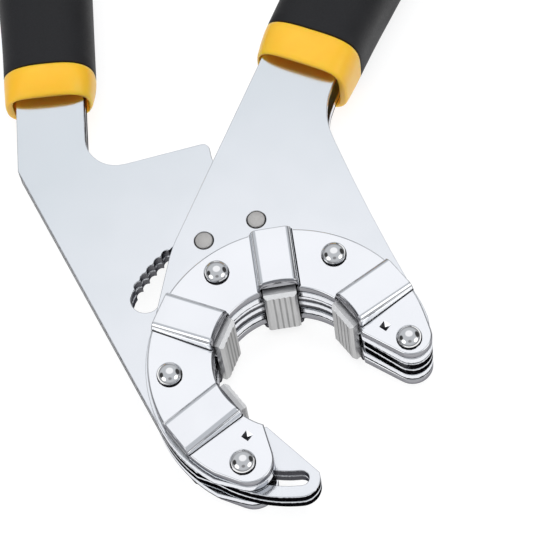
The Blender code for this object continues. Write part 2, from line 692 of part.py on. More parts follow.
def make_cover(name, side, parts, cutters, parent):
    """A pressed cover: a C-shaped sheet with four raised radial channels. side is +1 front, -1 rear."""
    # The sheet starts a little inside the head's inner edge, and one round cut then makes that edge.
    blank_radius = HEAD_INNER_RADIUS - LAYER_GAP
    outline = (
        first_end(blank_radius, COVER_RADIUS)
        + head_arc(COVER_RADIUS, FIRST_BOSS_BLEND_DEG, LAST_BOSS_BLEND_DEG)
        + last_end(blank_radius, COVER_RADIUS)
        + head_arc(blank_radius, MOUTH_LAST_DEG, MOUTH_FIRST_DEG)[1:-1]
    )
    holes = rivet_holes(RIVET_TENON_RADIUS + FASTENER_GAP)
    low, high = sorted((COVER_LOW * side, COVER_HIGH * side))
    cover = plate(name, [outline] + holes, low, high, parts, CHROME, parent)
    start = HEAD_INNER_RADIUS - CUT_OVERRUN
    end = RIB_OUTER_REACH + CUT_OVERRUN
    for angle in JAW_ANGLES_DEG:
        rib_mesh = loft(f"{name}_rib_{angle}", [rib_ring(start, side), rib_ring(RIB_OUTER_REACH, side)])
        rib = bpy.data.objects.new(rib_mesh.name, rib_mesh)
        rib.rotation_euler.z = math.radians(angle - 90)
        boolean(cover, rib, "UNION", cutters)
    for angle in JAW_ANGLES_DEG:
        profile = channel_profile(start - CUT_OVERRUN, end, side)
        cut = prism(f"{name}_channel_{angle}", profile, CHANNEL_HALF_WIDTH, upright_matrix(angle))
        boolean(cover, cut, "DIFFERENCE", cutters)
    bore_height = COVER_HIGH + RIB_INNER_RISE + CUT_OVERRUN
    bore = prism(f"{name}_bore", head_arc(HEAD_INNER_RADIUS, 0, 360)[:-1], bore_height)
    boolean(cover, bore, "DIFFERENCE", cutters)
    for share, angle in zip(MARK_REACH_SHARES, MARK_ANGLES_DEG):
        radius = HEAD_INNER_RADIUS + (COVER_RADIUS - HEAD_INNER_RADIUS) * share
        mark = mark_cutter(f"{name}_mark_{angle:.0f}", polar(radius, angle), side)
        boolean(cover, mark, "DIFFERENCE", cutters)
    return cover


def rivet_profile():
    """A shoulder rivet with a domed head at each end."""
    seat = COVER_HIGH + FASTENER_GAP
    rim = seat + RIVET_DOME_RIM
    shoulder = LEFT_PLATE_HIGH
    sphere_rise = RIVET_DOME_HEIGHT - RIVET_DOME_RIM
    sphere = (RIVET_DOME_RADIUS**2 + sphere_rise**2) / (2 * sphere_rise)
    spread = math.asin(RIVET_DOME_RADIUS / sphere)
    shares = (0, 0.3, 0.55, 0.8, 1)
    dome = [
        (sphere * math.sin(spread * share), rim + sphere_rise - sphere * (1 - math.cos(spread * share)))
        for share in shares
    ]
    half = dome + [
        (RIVET_DOME_RADIUS, seat),
        (RIVET_TENON_RADIUS, seat),
        (RIVET_TENON_RADIUS, shoulder),
        (RIVET_SHOULDER_RADIUS, shoulder),
    ]
    return half + [(radius, -height) for radius, height in reversed(half)]


def make_fasteners(parts, root):
    for number, angle in enumerate(RIVET_ANGLES_DEG, 1):
        rivet = turned(f"head_rivet_{number}", rivet_profile(), parts, MIRROR_CHROME, root)
        rivet.location.xy = polar(RIVET_CIRCLE_RADIUS, angle)
    reach = RIGHT_PLATE_HIGH + GUIDE_PIN_PROUD
    profile = cylinder_profile(GUIDE_PIN_RADIUS, -reach, reach, GUIDE_PIN_BEVEL)
    for number, angle in enumerate(GUIDE_PIN_ANGLES_DEG, 1):
        pin = turned(f"guide_pin_{number}", profile, parts, PIN_STEEL, root)
        pin.location.xy = polar(GUIDE_PIN_CIRCLE_RADIUS, angle)


def make_tang_rivets(name, frame, grip_start, high, parts, parent):
    for number, place in enumerate(tang_rivet_places(frame, grip_start), 1):
        profile = cylinder_profile(TANG_RIVET_RADIUS, -high, high)
        rivet = turned(f"{name}_{number}", profile, parts, PIN_STEEL, parent)
        rivet.location.xy = place


def make_plates(parts, root, left_body):
    right_outlines = [right_plate_outline()] + right_plate_holes()
    left_outlines = [left_plate_outline()] + left_plate_holes()
    plate("right_plate_front", right_outlines, RIGHT_PLATE_LOW, RIGHT_PLATE_HIGH, parts, CHROME, root)
    plate("right_plate_rear", right_outlines, -RIGHT_PLATE_HIGH, -RIGHT_PLATE_LOW, parts, CHROME, root)
    plate("left_plate_front", left_outlines, LEFT_PLATE_LOW, LEFT_PLATE_HIGH, parts, CHROME, left_body)
    plate("left_plate_rear", left_outlines, -LEFT_PLATE_HIGH, -LEFT_PLATE_LOW, parts, CHROME, left_body)


def make_tang_spacer(parts, root):
    """The plate that keeps the two right plates apart inside the grip."""
    half = TANG_WIDTH / 2
    start = RIGHT_GRIP_START + TANG_SPACER_START
    corners = [
        (RIGHT.beside(RIGHT_TANG_END, half), TANG_CORNER_RADIUS),
        (RIGHT.beside(RIGHT_TANG_END, -half), TANG_CORNER_RADIUS),
    ]
    right = RIGHT.beside(start, half)
    left = RIGHT.beside(start, -half)
    outline = [right] + rounded(right, corners, left) + [left]
    holes = tang_rivet_holes(RIGHT, RIGHT_GRIP_START)
    plate("right_tang_spacer", [outline] + holes, -LEFT_PLATE_HIGH, LEFT_PLATE_HIGH, parts, PIN_STEEL, root)


def jaw_plan():
    """The jaw seen from the front, with grooves across its face. X runs outwards along its slide."""
    half = JAW_WIDTH / 2
    face = JAW_FACE_OPEN_RADIUS
    pitch = (JAW_WIDTH - 2 * JAW_CORNER_CHAMFER) / (JAW_GROOVES + 1)
    points = [Vector((face + JAW_CORNER_CHAMFER, half)), Vector((face, half - JAW_CORNER_CHAMFER))]
    for number in range(JAW_GROOVES):
        middle = half - JAW_CORNER_CHAMFER - pitch * (number + 1)
        points.append(Vector((face, middle + JAW_GROOVE_WIDTH / 2)))
        points.append(Vector((face + JAW_GROOVE_DEPTH, middle)))
        points.append(Vector((face, middle - JAW_GROOVE_WIDTH / 2)))
    points += [Vector((face, JAW_CORNER_CHAMFER - half)), Vector((face + JAW_CORNER_CHAMFER, -half))]
    return points + [Vector((JAW_OUTER_RADIUS, -half)), Vector((JAW_OUTER_RADIUS, half))]


def jaw_side():
    """The jaw seen from its side: two caps joined behind the face, slit for the inner plates."""
    face = JAW_FACE_OPEN_RADIUS
    chamfer = face + JAW_EDGE_CHAMFER
    web = face + JAW_FACE_THICKNESS
    upper = [
        Vector((web, RIGHT_PLATE_LOW)),
        Vector((JAW_SHOULDER_RADIUS, RIGHT_PLATE_LOW)),
        Vector((JAW_SHOULDER_RADIUS, COVER_LOW)),
        Vector((JAW_OUTER_RADIUS, COVER_LOW)),
        Vector((JAW_OUTER_RADIUS, JAW_OUTER_HIGH)),
        Vector((HEAD_INNER_RADIUS, JAW_HIGH)),
        Vector((chamfer, JAW_HIGH)),
        Vector((face, JAW_HIGH - JAW_EDGE_CHAMFER)),
    ]
    return upper + [Vector((point.x, -point.y)) for point in reversed(upper)]


def make_jaw(number, angle, parts, cutters, root):
    slide = bpy.data.objects.new(f"jaw_slide_{number}", None)
    parts.objects.link(slide)
    slide.parent = root
    slide.rotation_euler.z = math.radians(angle)
    name = f"jaw_{number}"
    mesh = flat_mesh(name, [jaw_plan()], JAW_HIGH + CUT_OVERRUN)
    jaw = joined(name, bpy.data.objects.new(name, mesh), parts, JAW_STEEL, slide)
    boolean(jaw, prism(f"{name}_side", jaw_side(), JAW_WIDTH, upright_matrix(0)), "INTERSECT", cutters)
    hole = circle(Vector((JAW_PIN_OPEN_RADIUS, 0)), JAW_PIN_RADIUS + FASTENER_GAP)
    boolean(jaw, prism(f"{name}_pin_hole", hole, JAW_HIGH + CUT_OVERRUN), "DIFFERENCE", cutters)
    reach = JAW_OUTER_HIGH - FASTENER_GAP
    profile = cylinder_profile(JAW_PIN_RADIUS, -reach, reach)
    pin = turned(f"jaw_pin_{number}", profile, parts, PIN_STEEL, slide)
    pin.location.x = JAW_PIN_OPEN_RADIUS


def section(half_width, half_depth, squareness, lateral, reach):
    """One ring of a grip across the handle's axis: an ellipse squared off by its exponent."""
    ring = []
    for number in range(SECTION_POINTS):
        turn = 2 * math.pi * number / SECTION_POINTS
        cosine = math.cos(turn)
        sine = math.sin(turn)
        spread = (abs(cosine) ** squareness + abs(sine) ** squareness) ** (1 / squareness)
        ring.append(Vector((lateral + half_width * cosine / spread, reach, half_depth * sine / spread)))
    return ring


def loft(name, rings):
    """A closed solid through rings of points that run along +Y."""
    work = bmesh.new()
    rows = [[work.verts.new(point) for point in ring] for ring in rings]
    count = len(rows[0])
    for row, following in zip(rows, rows[1:]):
        for n in range(count):
            work.faces.new((row[n], row[(n + 1) % count], following[(n + 1) % count], following[n]))
    work.faces.new(rows[0][::-1])
    work.faces.new(rows[-1])
    bmesh.ops.recalc_face_normals(work, faces=work.faces)
    for face in work.faces:
        face.smooth = len(face.verts) == 4
    mesh = bpy.data.meshes.new(name)
    work.to_mesh(mesh)
    work.free()
    return mesh


class GripShape:
    """The sections of one grip. outer_side is +1 where the palm swell is to the handle's right."""

    def __init__(self, start, width, depth, squareness, collar, palm_flare, tang_width, outer_side):
        self.start = start
        self.end = start + GRIP_LENGTH
        self.width = width
        self.depth = depth
        self.squareness = squareness
        self.collar_length, self.collar_taper, self.mouth_depth = collar
        self.collar_end = start + self.collar_length
        self.palm_flare = palm_flare
        self.tang_width = tang_width
        self.outer_side = outer_side

    def swell(self, share):
        """How far the palm side stands out at this share of the grip's length."""
        shares = (0, 0.08, 0.5, 0.8, 1)
        swell_shares = (0, 0, 1, 0.35, 0.5)
        for n in range(len(shares) - 1):
            if share <= shares[n + 1]:
                part = (share - shares[n]) / (shares[n + 1] - shares[n])
                eased = (1 - math.cos(math.pi * part)) / 2
                rise = swell_shares[n] + (swell_shares[n + 1] - swell_shares[n]) * eased
                return rise * SLEEVE_PALM_SWELL
        return swell_shares[-1] * SLEEVE_PALM_SWELL

    def ring(self, reach, inset):
        """A section of the straight grip, which the sleeve's bore and the core inside it follow."""
        return section(self.width / 2 - inset, self.depth / 2 - inset, self.squareness, 0, reach)

    def outer_ring(self, reach, inset, swell=0):
        """A section of what the hand feels: the palm side flares out and the collar narrows to its mouth."""
        flare = self.palm_flare * math.sqrt(min(1, (reach - self.start) / FLARE_LENGTH))
        closeness = max(0, 1 - (reach - self.start) / self.collar_length)
        narrowing = 1 - math.cos(math.pi / 2 * closeness)
        outward = flare + swell
        drawn_in = self.collar_taper * narrowing
        half_width = (self.width + outward - drawn_in) / 2 - inset
        half_depth = (self.depth + (self.mouth_depth - self.depth) * narrowing) / 2 - inset
        lateral = self.outer_side * (outward + drawn_in) / 2
        return section(half_width, half_depth, self.squareness, lateral, reach)

    def swollen_ring(self, reach, inset):
        share = (reach - self.start) / GRIP_LENGTH
        return self.outer_ring(reach, inset, self.swell(share))

    def core_rings(self):
        core_end = self.end - SLEEVE_END_THICKNESS
        collar_shares = (0.35, 0.65, 1)
        rings = [
            self.outer_ring(self.start, COLLAR_LIP / 2),
            self.outer_ring(self.start + COLLAR_LIP, 0),
        ]
        rings += [self.outer_ring(self.start + self.collar_length * share, 0) for share in collar_shares]
        return rings + [self.ring(self.collar_end, SLEEVE_THICKNESS), self.ring(core_end, SLEEVE_THICKNESS)]

    def sleeve_rings(self):
        first = self.collar_end + LAYER_GAP
        straight_end = self.end - SLEEVE_END_ROUNDING
        length_shares = (0, 0.12, 0.25, 0.38, 0.5, 0.62, 0.74, 0.86, 1)
        rings = [self.swollen_ring(first + (straight_end - first) * share, 0) for share in length_shares]
        for degrees in (35, 60, 80):
            turn = math.radians(degrees)
            inset = SLEEVE_END_ROUNDING / 2 * (1 - math.cos(turn))
            rings.append(self.swollen_ring(straight_end + SLEEVE_END_ROUNDING * math.sin(turn), inset))
        return rings

    def bore_rings(self):
        inset = SLEEVE_THICKNESS - LAYER_GAP
        start = self.collar_end - CUT_OVERRUN
        end = self.end - SLEEVE_END_THICKNESS + LAYER_GAP
        return [self.ring(start, inset), self.ring(end, inset)]

    def mouth_rings(self):
        """The open mouth that the full width of the tang enters."""
        half_width = self.tang_width / 2 + COLLAR_SIDE_ROOM
        half_depth = self.mouth_depth / 2 - COLLAR_WALL
        ends = (self.start - CUT_OVERRUN, self.collar_end - COLLAR_FLOOR)
        return [section(half_width, half_depth, MOUTH_SQUARENESS, 0, reach) for reach in ends]

    def socket_outline(self, tang_end_reach):
        half = TANG_WIDTH / 2 + LAYER_GAP
        low = self.start - CUT_OVERRUN
        high = tang_end_reach + LAYER_GAP
        return [Vector((half, low)), Vector((half, high)), Vector((-half, high)), Vector((-half, low))]


def make_grip(name, shape, frame, tang_high, tang_end_reach, parts, cutters, parent):
    place = Matrix.Translation(frame.place(0, -frame.axis_offset).to_3d())
    place = place @ Matrix.Rotation(math.radians(frame.direction_deg - 90), 4, "Z")
    core = bpy.data.objects.new(name + "_core", loft(name + "_core", shape.core_rings()))
    sleeve = bpy.data.objects.new(name + "_sleeve", loft(name + "_sleeve", shape.sleeve_rings()))
    joined(core.name, core, parts, YELLOW_PLASTIC, parent)
    joined(sleeve.name, sleeve, parts, BLACK_RUBBER, parent)
    mouth = bpy.data.objects.new(name + "_mouth", loft(name + "_mouth", shape.mouth_rings()))
    bore = bpy.data.objects.new(name + "_bore", loft(name + "_bore", shape.bore_rings()))
    socket = prism(name + "_socket", shape.socket_outline(tang_end_reach), tang_high + LAYER_GAP)
    boolean(core, mouth, "DIFFERENCE", cutters)
    boolean(core, socket, "DIFFERENCE", cutters)
    boolean(sleeve, bore, "DIFFERENCE", cutters)
    for piece in (core, sleeve, mouth, socket, bore):
        piece.matrix_local = place


def stand_on_floor(assembly, parts):
    """Moves the wrench so that the middle of its footprint is at the origin."""
    graph = bpy.context.evaluated_depsgraph_get()
    corners = []
    for piece in parts.objects:
        if piece.type == "MESH":
            evaluated = piece.evaluated_get(graph)
            corners += [evaluated.matrix_world @ vertex.co for vertex in evaluated.data.vertices]
    low = [min(corner[n] for corner in corners) for n in range(3)]
    high = [max(corner[n] for corner in corners) for n in range(3)]
    assembly.location = (-(low[0] + high[0]) / 2, -(low[1] + high[1]) / 2, -low[2])


def main():
    clear_scene()
    parts = new_collection(OBJECT_NAME)
    cutters = new_collection("cutters", hidden=True)
    assembly = bpy.data.objects.new("head_centre", None)
    left_body = bpy.data.objects.new("left_handle_pivot", None)
    for empty in (assembly, left_body):
        parts.objects.link(empty)
    left_body.parent = assembly
    make_cover("front_cover", 1, parts, cutters, assembly)
    make_cover("rear_cover", -1, parts, cutters, assembly)
    make_plates(parts, assembly, left_body)
    make_fasteners(parts, assembly)
    make_tang_spacer(parts, assembly)
    make_tang_rivets(
        "right_tang_rivet", RIGHT, RIGHT_GRIP_START, RIGHT_PLATE_HIGH, parts, assembly
    )
    make_tang_rivets("left_tang_rivet", LEFT, LEFT_GRIP_START, LEFT_PLATE_HIGH, parts, left_body)
    for number, angle in enumerate(JAW_ANGLES_DEG, 1):
        make_jaw(number, angle, parts, cutters, assembly)
    right_shape = GripShape(
        start=RIGHT_GRIP_START,
        width=RIGHT_GRIP_WIDTH,
        depth=RIGHT_GRIP_DEPTH,
        squareness=RIGHT_GRIP_SQUARENESS,
        collar=(RIGHT_COLLAR_LENGTH, RIGHT_COLLAR_TAPER, RIGHT_MOUTH_DEPTH),
        palm_flare=RIGHT_PALM_FLARE,
        tang_width=RIGHT_TANG_WIDTH,
        outer_side=1,
    )
    left_shape = GripShape(
        start=LEFT_GRIP_START,
        width=LEFT_GRIP_WIDTH,
        depth=LEFT_GRIP_DEPTH,
        squareness=LEFT_GRIP_SQUARENESS,
        collar=(LEFT_COLLAR_LENGTH, LEFT_COLLAR_TAPER, LEFT_MOUTH_DEPTH),
        palm_flare=LEFT_PALM_FLARE,
        tang_width=LEFT_TANG_WIDTH,
        outer_side=-1,
    )
    make_grip(
        "right_grip", right_shape, RIGHT, RIGHT_PLATE_HIGH, RIGHT_TANG_END, parts, cutters, assembly
    )
    make_grip("left_grip", left_shape, LEFT, LEFT_PLATE_HIGH, LEFT_TANG_END, parts, cutters, left_body)
    stand_on_floor(assembly, parts)


main()
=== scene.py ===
"""The looks of the open head squeeze wrench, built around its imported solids.

The plates, covers, rivets, guide pins, jaws and grips are shown by finer pieces with rounded edges. Each one
is made where its solid is and rides on the same body. The hidden solids are shown as they are.
"""

import json
import math

import bmesh
import bpy
from mathutils import Matrix, Quaternion, Vector
from mathutils.geometry import tessellate_polygon


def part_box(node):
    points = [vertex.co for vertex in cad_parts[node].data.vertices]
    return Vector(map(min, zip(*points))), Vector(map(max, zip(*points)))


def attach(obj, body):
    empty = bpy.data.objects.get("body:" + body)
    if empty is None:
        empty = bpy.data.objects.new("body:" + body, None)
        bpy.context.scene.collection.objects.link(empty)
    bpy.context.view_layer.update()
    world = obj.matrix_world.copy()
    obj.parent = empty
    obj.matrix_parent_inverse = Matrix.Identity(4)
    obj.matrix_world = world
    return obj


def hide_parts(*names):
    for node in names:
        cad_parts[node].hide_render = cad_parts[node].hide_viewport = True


MM = 0.001

# The camera of the photograph, about the centre of the head
CAMERA_PLACE = Vector((4.1748, -216.3725, 481.3865)) * MM
CAMERA_TURN = Quaternion((0.9697959, 0.2312494, 0.0236998, -0.0738781))
CAMERA_LENS = 155.35
CAMERA_SENSOR = 36
CAMERA_CLIPS = (0.02, 20)

# Heights above the middle plane of the head
LEFT_PLATE_LOW = 0.00015
LEFT_PLATE_HIGH = 0.00295
RIGHT_PLATE_LOW = 0.00325
RIGHT_PLATE_HIGH = 0.00575
COVER_LOW = 0.00605
COVER_HIGH = 0.00845
COVER_MIDDLE = (COVER_LOW + COVER_HIGH) / 2
RIB_INNER_RISE = 0.0033
RIB_OUTER_RISE = 0.0019

# Head
HEAD_INNER_RADIUS = 0.0174007
COVER_RADIUS = 0.0324
RIVET_CIRCLE_RADIUS = 0.0274
RIVET_ANGLES_DEG = (0, 60, 120, 180, 240)
JAW_ANGLES_DEG = (30, 90, 150, 210)
MOUTH_FIRST_DEG = 12
MOUTH_LAST_DEG = 233
RIB_OUTER_REACH = 0.0322
RIB_FOOT_HALF_WIDTH = 0.005
RIB_TOP_HALF_WIDTH = 0.00455
RIB_EDGE_RADIUS = 0.00145
RIB_CROWN = 0.00003
RIB_FOOT_FILLET = 0.00035
RIB_INNER_END_RADIUS = 0.0008
RIB_OUTER_END_RADIUS = 0.0003
RIB_WALL_ROUNDING = 0.0003
CHANNEL_HALF_WIDTH = 0.00415
CHANNEL_EDGE_RADIUS = 0.0004
MARK_WIDTH = 0.0019
MARK_DEPTH = 0.0007
MARKS = ((0.0228, 9.5), (0.0213, 235.9))  # reach and degrees

# Rivets and pins
RIVET_DOME_RADIUS = 0.00295
RIVET_DOME_HEIGHT = 0.002
RIVET_TENON_RADIUS = 0.00125
RIVET_SHOULDER_RADIUS = 0.00165
RIVET_SEAT_GAP = 0.0002
GUIDE_PIN_RADIUS = 0.0021
GUIDE_PIN_CIRCLE_RADIUS = 0.0374
GUIDE_PIN_ANGLES_DEG = (94.4, 114.8)
GUIDE_PIN_PROUD = 0.0003
GUIDE_PIN_BEVEL = 0.0003
GUIDE_PIN_BEVEL_BREAK = 0.3

# Jaws, in their open places
JAW_HALF_WIDTH = 0.00385
JAW_FACE_RADIUS = 0.0148007
JAW_OUTER_RADIUS = 0.0322
JAW_SHOULDER_RADIUS = 0.0237
JAW_PIN_OPEN_RADIUS = 0.0305
JAW_PIN_HOLE_RADIUS = 0.0012
JAW_HIGH = 0.00895
JAW_OUTER_HIGH = 0.00755
JAW_FACE_THICKNESS = 0.0019
JAW_EDGE_CHAMFER = 0.0009
JAW_CORNER_CHAMFER = 0.0006
JAW_FLUTES = 5
JAW_FLUTE_DEPTH = 0.00011
JAW_BROKEN_EDGE = 0.00013

# Grips: the direction is in degrees, offset and start are from the centre of the head, and palm_side is the
# side of the axis that the palm lies on
GRIP_LENGTH = 0.128
GRIPS = {
    "right": {
        "direction": 60,
        "offset": 0.0274,
        "start": 0.0726,
        "width": 0.0243,
        "depth": 0.0208,
        "squareness": 3.4,
        "collar_length": 0.0087,
        "collar_taper": 0.0009,
        "mouth_depth": 0.0186,
        "palm_flare": 0.0009,
        "tang_width": 0.019,
        "palm_side": 1,
    },
    "left": {
        "direction": 86.5,
        "offset": 0.0533,
        "start": 0.0767,
        "width": 0.0223,
        "depth": 0.0174,
        "squareness": 2.7,
        "collar_length": 0.0075,
        "collar_taper": 0.0012,
        "mouth_depth": 0.0126,
        "palm_flare": 0.0004,
        "tang_width": 0.0166,
        "palm_side": -1,
    },
}
FLARE_LENGTH = 0.0265
COLLAR_LIP = 0.0009
COLLAR_WALL = 0.0013
COLLAR_FLOOR = 0.0012
COLLAR_SIDE_ROOM = 0.0009
COLLAR_ROUNDING = 0.0004
MOUTH_SQUARENESS = 5
SLEEVE_THICKNESS = 0.0022
SLEEVE_PALM_SWELL = 0.0026
SLEEVE_END_THICKNESS = 0.004
SLEEVE_END_ROUNDING = 0.006
SWELL_SHARES = (0, 0.08, 0.5, 0.8, 1)
SWELL_VALUES = (0, 0, 1, 0.35, 0.5)
LAYER_GAP = 0.0003

# Rounded edges and arcs
PLATE_EDGE_RADIUS = 0.00018
COVER_EDGE_RADIUS = 0.00045
LEAST_MITRE = 0.5
ARC_LEAST_TURN_DEG = 3
ARC_MOST_TURN_DEG = 25
ARC_EVENNESS = 0.6
ARC_SHARES = (0.25, 0.5, 0.75)

# Fineness
EDGE_STEPS = 4
FILLET_STEPS = EDGE_STEPS * 2
LATHE_STEPS = 64
RIVET_DOME_STEPS = 18
JAW_SLICES = 72
SECTION_POINTS = 96
COLLAR_STEPS = 10
SLEEVE_STEPS = 48
SLEEVE_END_TURNS_DEG = range(8, 81, 8)
MERGE_DISTANCE = 1e-6
CAP_TOLERANCE = 20 * MERGE_DISTANCE
FOOT_OVERLAP = MERGE_DISTANCE * 10
STRAIGHT_CROSS = 1e-4

# Shading
NORMAL_WEIGHT = 80
COVER_SHARP_DEG = 30
TURNED_SHARP_DEG = 40
JAW_SHARP_DEG = 35
JAW_BEVEL_LIMIT_DEG = 30
GRIP_SHARP_DEG = 55

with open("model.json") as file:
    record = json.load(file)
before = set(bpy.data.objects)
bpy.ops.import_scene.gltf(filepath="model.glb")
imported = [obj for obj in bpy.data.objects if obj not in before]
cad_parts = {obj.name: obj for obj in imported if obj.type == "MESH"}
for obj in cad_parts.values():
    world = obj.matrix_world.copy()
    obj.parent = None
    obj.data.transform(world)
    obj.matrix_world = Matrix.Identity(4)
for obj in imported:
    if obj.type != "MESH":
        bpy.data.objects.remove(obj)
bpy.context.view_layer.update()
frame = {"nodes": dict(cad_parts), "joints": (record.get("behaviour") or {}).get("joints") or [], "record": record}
nodes = frame["nodes"]
hinge = next(joint for joint in frame["joints"] if joint["name"] == "handle_squeeze")
HEAD = Vector(hinge["pos_m"])
BODY_OF = {
    node: body for body, members in frame["record"]["behaviour"]["bodies"].items() for node in members
}
SLOT_OF = {row["node"]: row["material_slot"] for row in frame["record"]["subparts"]}


# Materials

# Texture scales are per metre. A pair of roughness values is for a texture's low and high end, and a bump
# has its strength and its distance.
CHROME_SMUDGES = 90
CHROME_LINES = 5200
CHROME_LINES_STRETCH = (1, 0.06, 1)
CHROME_LINES_ROUGH = (-0.015, 0.02)
CHROME_PITS = 2600
CHROME_PIT_HEIGHTS = (0, 0.6)
CHROME_PIT_LEVELS = (0.62, 0.8)
CHROME_BUMP_DISTANCE = 0.00002
DARKENING_REACHES = (0.03, 0.078)
TEETH = 1500
TEETH_STRETCH = (1, 1, 0.12)
TEETH_RAGGED = 0.05
TEETH_BUMP = (0.25, 0.00004)
STREAKS = 110
STREAKS_STRETCH = (1, 1, 0.4)
STREAK_LEVELS = (0.58, 0.75)
STREAK_BRIGHT_SHARE = 0.3
BAND_BLUR = 0.07
PAINTED_BAND_ROUGH = 0.3
BRIGHT_ROUGH = 0.16
GRINDING_LINES = 3600
UPRIGHT_GRAIN = (1, 1, 0.04)
EVEN_GRAIN = (1, 1, 1)
GRINDING_CLOUDS = 240
GRINDING_ROUGH = 0.04
GRINDING_BUMP_DISTANCE = 0.00003
YELLOW = (1.0, 0.535, 0.035)
DEEP_YELLOW = (0.97, 0.49, 0.025)
YELLOW_CLOUDS = 120
YELLOW_GRAIN = 3200
YELLOW_ROUGH = (0.28, 0.38)
YELLOW_BUMP = (0.12, 0.00003)
YELLOW_SCATTER = (0.004, 0.0018, 0.0004)
BLACK = (0.008, 0.008, 0.009)
WORN_BLACK = (0.012, 0.012, 0.014)
RUBBER_CLOUDS = 70
RUBBER_GRAIN = 2400
RUBBER_ROUGH = (0.55, 0.68)
RUBBER_GRAIN_ROUGH = 0.06
RUBBER_BUMP = (0.35, 0.00006)


def grey(level):
    return (level, level, level)


def new_material(name):
    made = bpy.data.materials.new(name)
    made.use_nodes = True
    tree = made.node_tree
    shader = tree.nodes["Principled BSDF"]
    return made, tree, shader


def object_place(tree, stretch=(1, 1, 1)):
    """The place on the piece, in metres, with each axis stretched."""
    coordinates = tree.nodes.new("ShaderNodeTexCoord")
    mapping = tree.nodes.new("ShaderNodeMapping")
    mapping.inputs["Scale"].default_value = stretch
    tree.links.new(coordinates.outputs["Object"], mapping.inputs["Vector"])
    return mapping.outputs["Vector"]


def noise(tree, place, scale, detail=2, roughness=0.5):
    texture = tree.nodes.new("ShaderNodeTexNoise")
    texture.inputs["Scale"].default_value = scale
    texture.inputs["Detail"].default_value = detail
    texture.inputs["Roughness"].default_value = roughness
    tree.links.new(place, texture.inputs["Vector"])
    return texture.outputs["Fac"]


def spread(tree, value, low, high, from_low=0.3, from_high=0.7, smooth=False):
    """Maps a texture value onto a range."""
    node = tree.nodes.new("ShaderNodeMapRange")
    node.interpolation_type = "SMOOTHSTEP" if smooth else "LINEAR"
    node.inputs["From Min"].default_value = from_low
    node.inputs["From Max"].default_value = from_high
    node.inputs["To Min"].default_value = low
    node.inputs["To Max"].default_value = high
    tree.links.new(value, node.inputs["Value"])
    return node.outputs["Result"]


def add_values(tree, first, second):
    node = tree.nodes.new("ShaderNodeMath")
    node.operation = "ADD"
    tree.links.new(first, node.inputs[0])
    tree.links.new(second, node.inputs[1])
    return node.outputs["Value"]


def mix_colour(tree, share, first, second):
    node = tree.nodes.new("ShaderNodeMix")
    node.data_type = "RGBA"
    tree.links.new(share, node.inputs["Factor"])
    for socket, colour in ((node.inputs[6], first), (node.inputs[7], second)):
        if isinstance(colour, tuple):
            socket.default_value = (*colour, 1)
        else:
            tree.links.new(colour, socket)
    return node.outputs[2]


def bump(tree, shader, height, strength, distance):
    node = tree.nodes.new("ShaderNodeBump")
    node.inputs["Strength"].default_value = strength
    node.inputs["Distance"].default_value = distance
    tree.links.new(height, node.inputs["Height"])
    tree.links.new(node.outputs["Normal"], shader.inputs["Normal"])


def chrome(name, light, dark, rough_range, grain, far=None):
    """Plated metal: faint smudges, polishing lines and tiny pits, and a darker colour far from the head."""
    made, tree, shader = new_material(name)
    place = object_place(tree)
    brushed = object_place(tree, CHROME_LINES_STRETCH)
    cloud = noise(tree, place, CHROME_SMUDGES, 3)
    lines = noise(tree, brushed, CHROME_LINES, 2)
    pits = noise(tree, place, CHROME_PITS, 1)
    shader.inputs["Metallic"].default_value = 1
    colour = mix_colour(tree, spread(tree, cloud, 0, 1), light, dark)
    if far:
        distance = tree.nodes.new("ShaderNodeVectorMath")
        distance.operation = "DISTANCE"
        tree.links.new(place, distance.inputs[0])
        distance.inputs[1].default_value = HEAD
        away = spread(tree, distance.outputs["Value"], 0, 1, *DARKENING_REACHES)
        colour = mix_colour(tree, away, colour, far)
    tree.links.new(colour, shader.inputs["Base Color"])
    uneven = spread(tree, lines, *CHROME_LINES_ROUGH)
    rough = add_values(tree, spread(tree, cloud, *rough_range), uneven)
    tree.links.new(rough, shader.inputs["Roughness"])
    height = add_values(tree, lines, spread(tree, pits, *CHROME_PIT_HEIGHTS, *CHROME_PIT_LEVELS))
    bump(tree, shader, height, grain, CHROME_BUMP_DISTANCE)
    return made


def cut_edge(name, low, high, bright, dark, bright_share):
    """The punched edge of a plated sheet between two heights: a bright band above a dark band of painted shade and
    dark reflection.
    """
    made, tree, shader = new_material(name)
    place = object_place(tree)
    split = tree.nodes.new("ShaderNodeSeparateXYZ")
    tree.links.new(place, split.inputs["Vector"])
    level = spread(tree, split.outputs["Z"], 0, 1, HEAD.z + low, HEAD.z + high)
    teeth = noise(tree, object_place(tree, TEETH_STRETCH), TEETH, 2)
    streaks = noise(tree, object_place(tree, STREAKS_STRETCH), STREAKS, 2)
    uneven = spread(tree, teeth, -TEETH_RAGGED, TEETH_RAGGED)
    ragged = add_values(tree, level, uneven)
    border = 1 - bright_share
    band = spread(tree, ragged, 0, 1, border - BAND_BLUR, border + BAND_BLUR, smooth=True)
    lit, unlit = STREAK_BRIGHT_SHARE, 1 - STREAK_BRIGHT_SHARE
    streak = tuple(first * lit + second * unlit for first, second in zip(bright, dark))
    # The dark band, streaked lighter, is painted shade and dark reflection on the edge and in the gaps between
    # sheets
    painted_dark_band = mix_colour(tree, spread(tree, streaks, 0, 1, *STREAK_LEVELS, smooth=True), dark, streak)
    shader.inputs["Metallic"].default_value = 1
    colour = mix_colour(tree, band, painted_dark_band, bright)
    tree.links.new(colour, shader.inputs["Base Color"])
    tree.links.new(colour, shader.inputs["Specular Tint"])
    rough = add_values(tree, spread(tree, band, PAINTED_BAND_ROUGH, BRIGHT_ROUGH, 0, 1), uneven)
    tree.links.new(rough, shader.inputs["Roughness"])
    bump(tree, shader, teeth, *TEETH_BUMP)
    return made


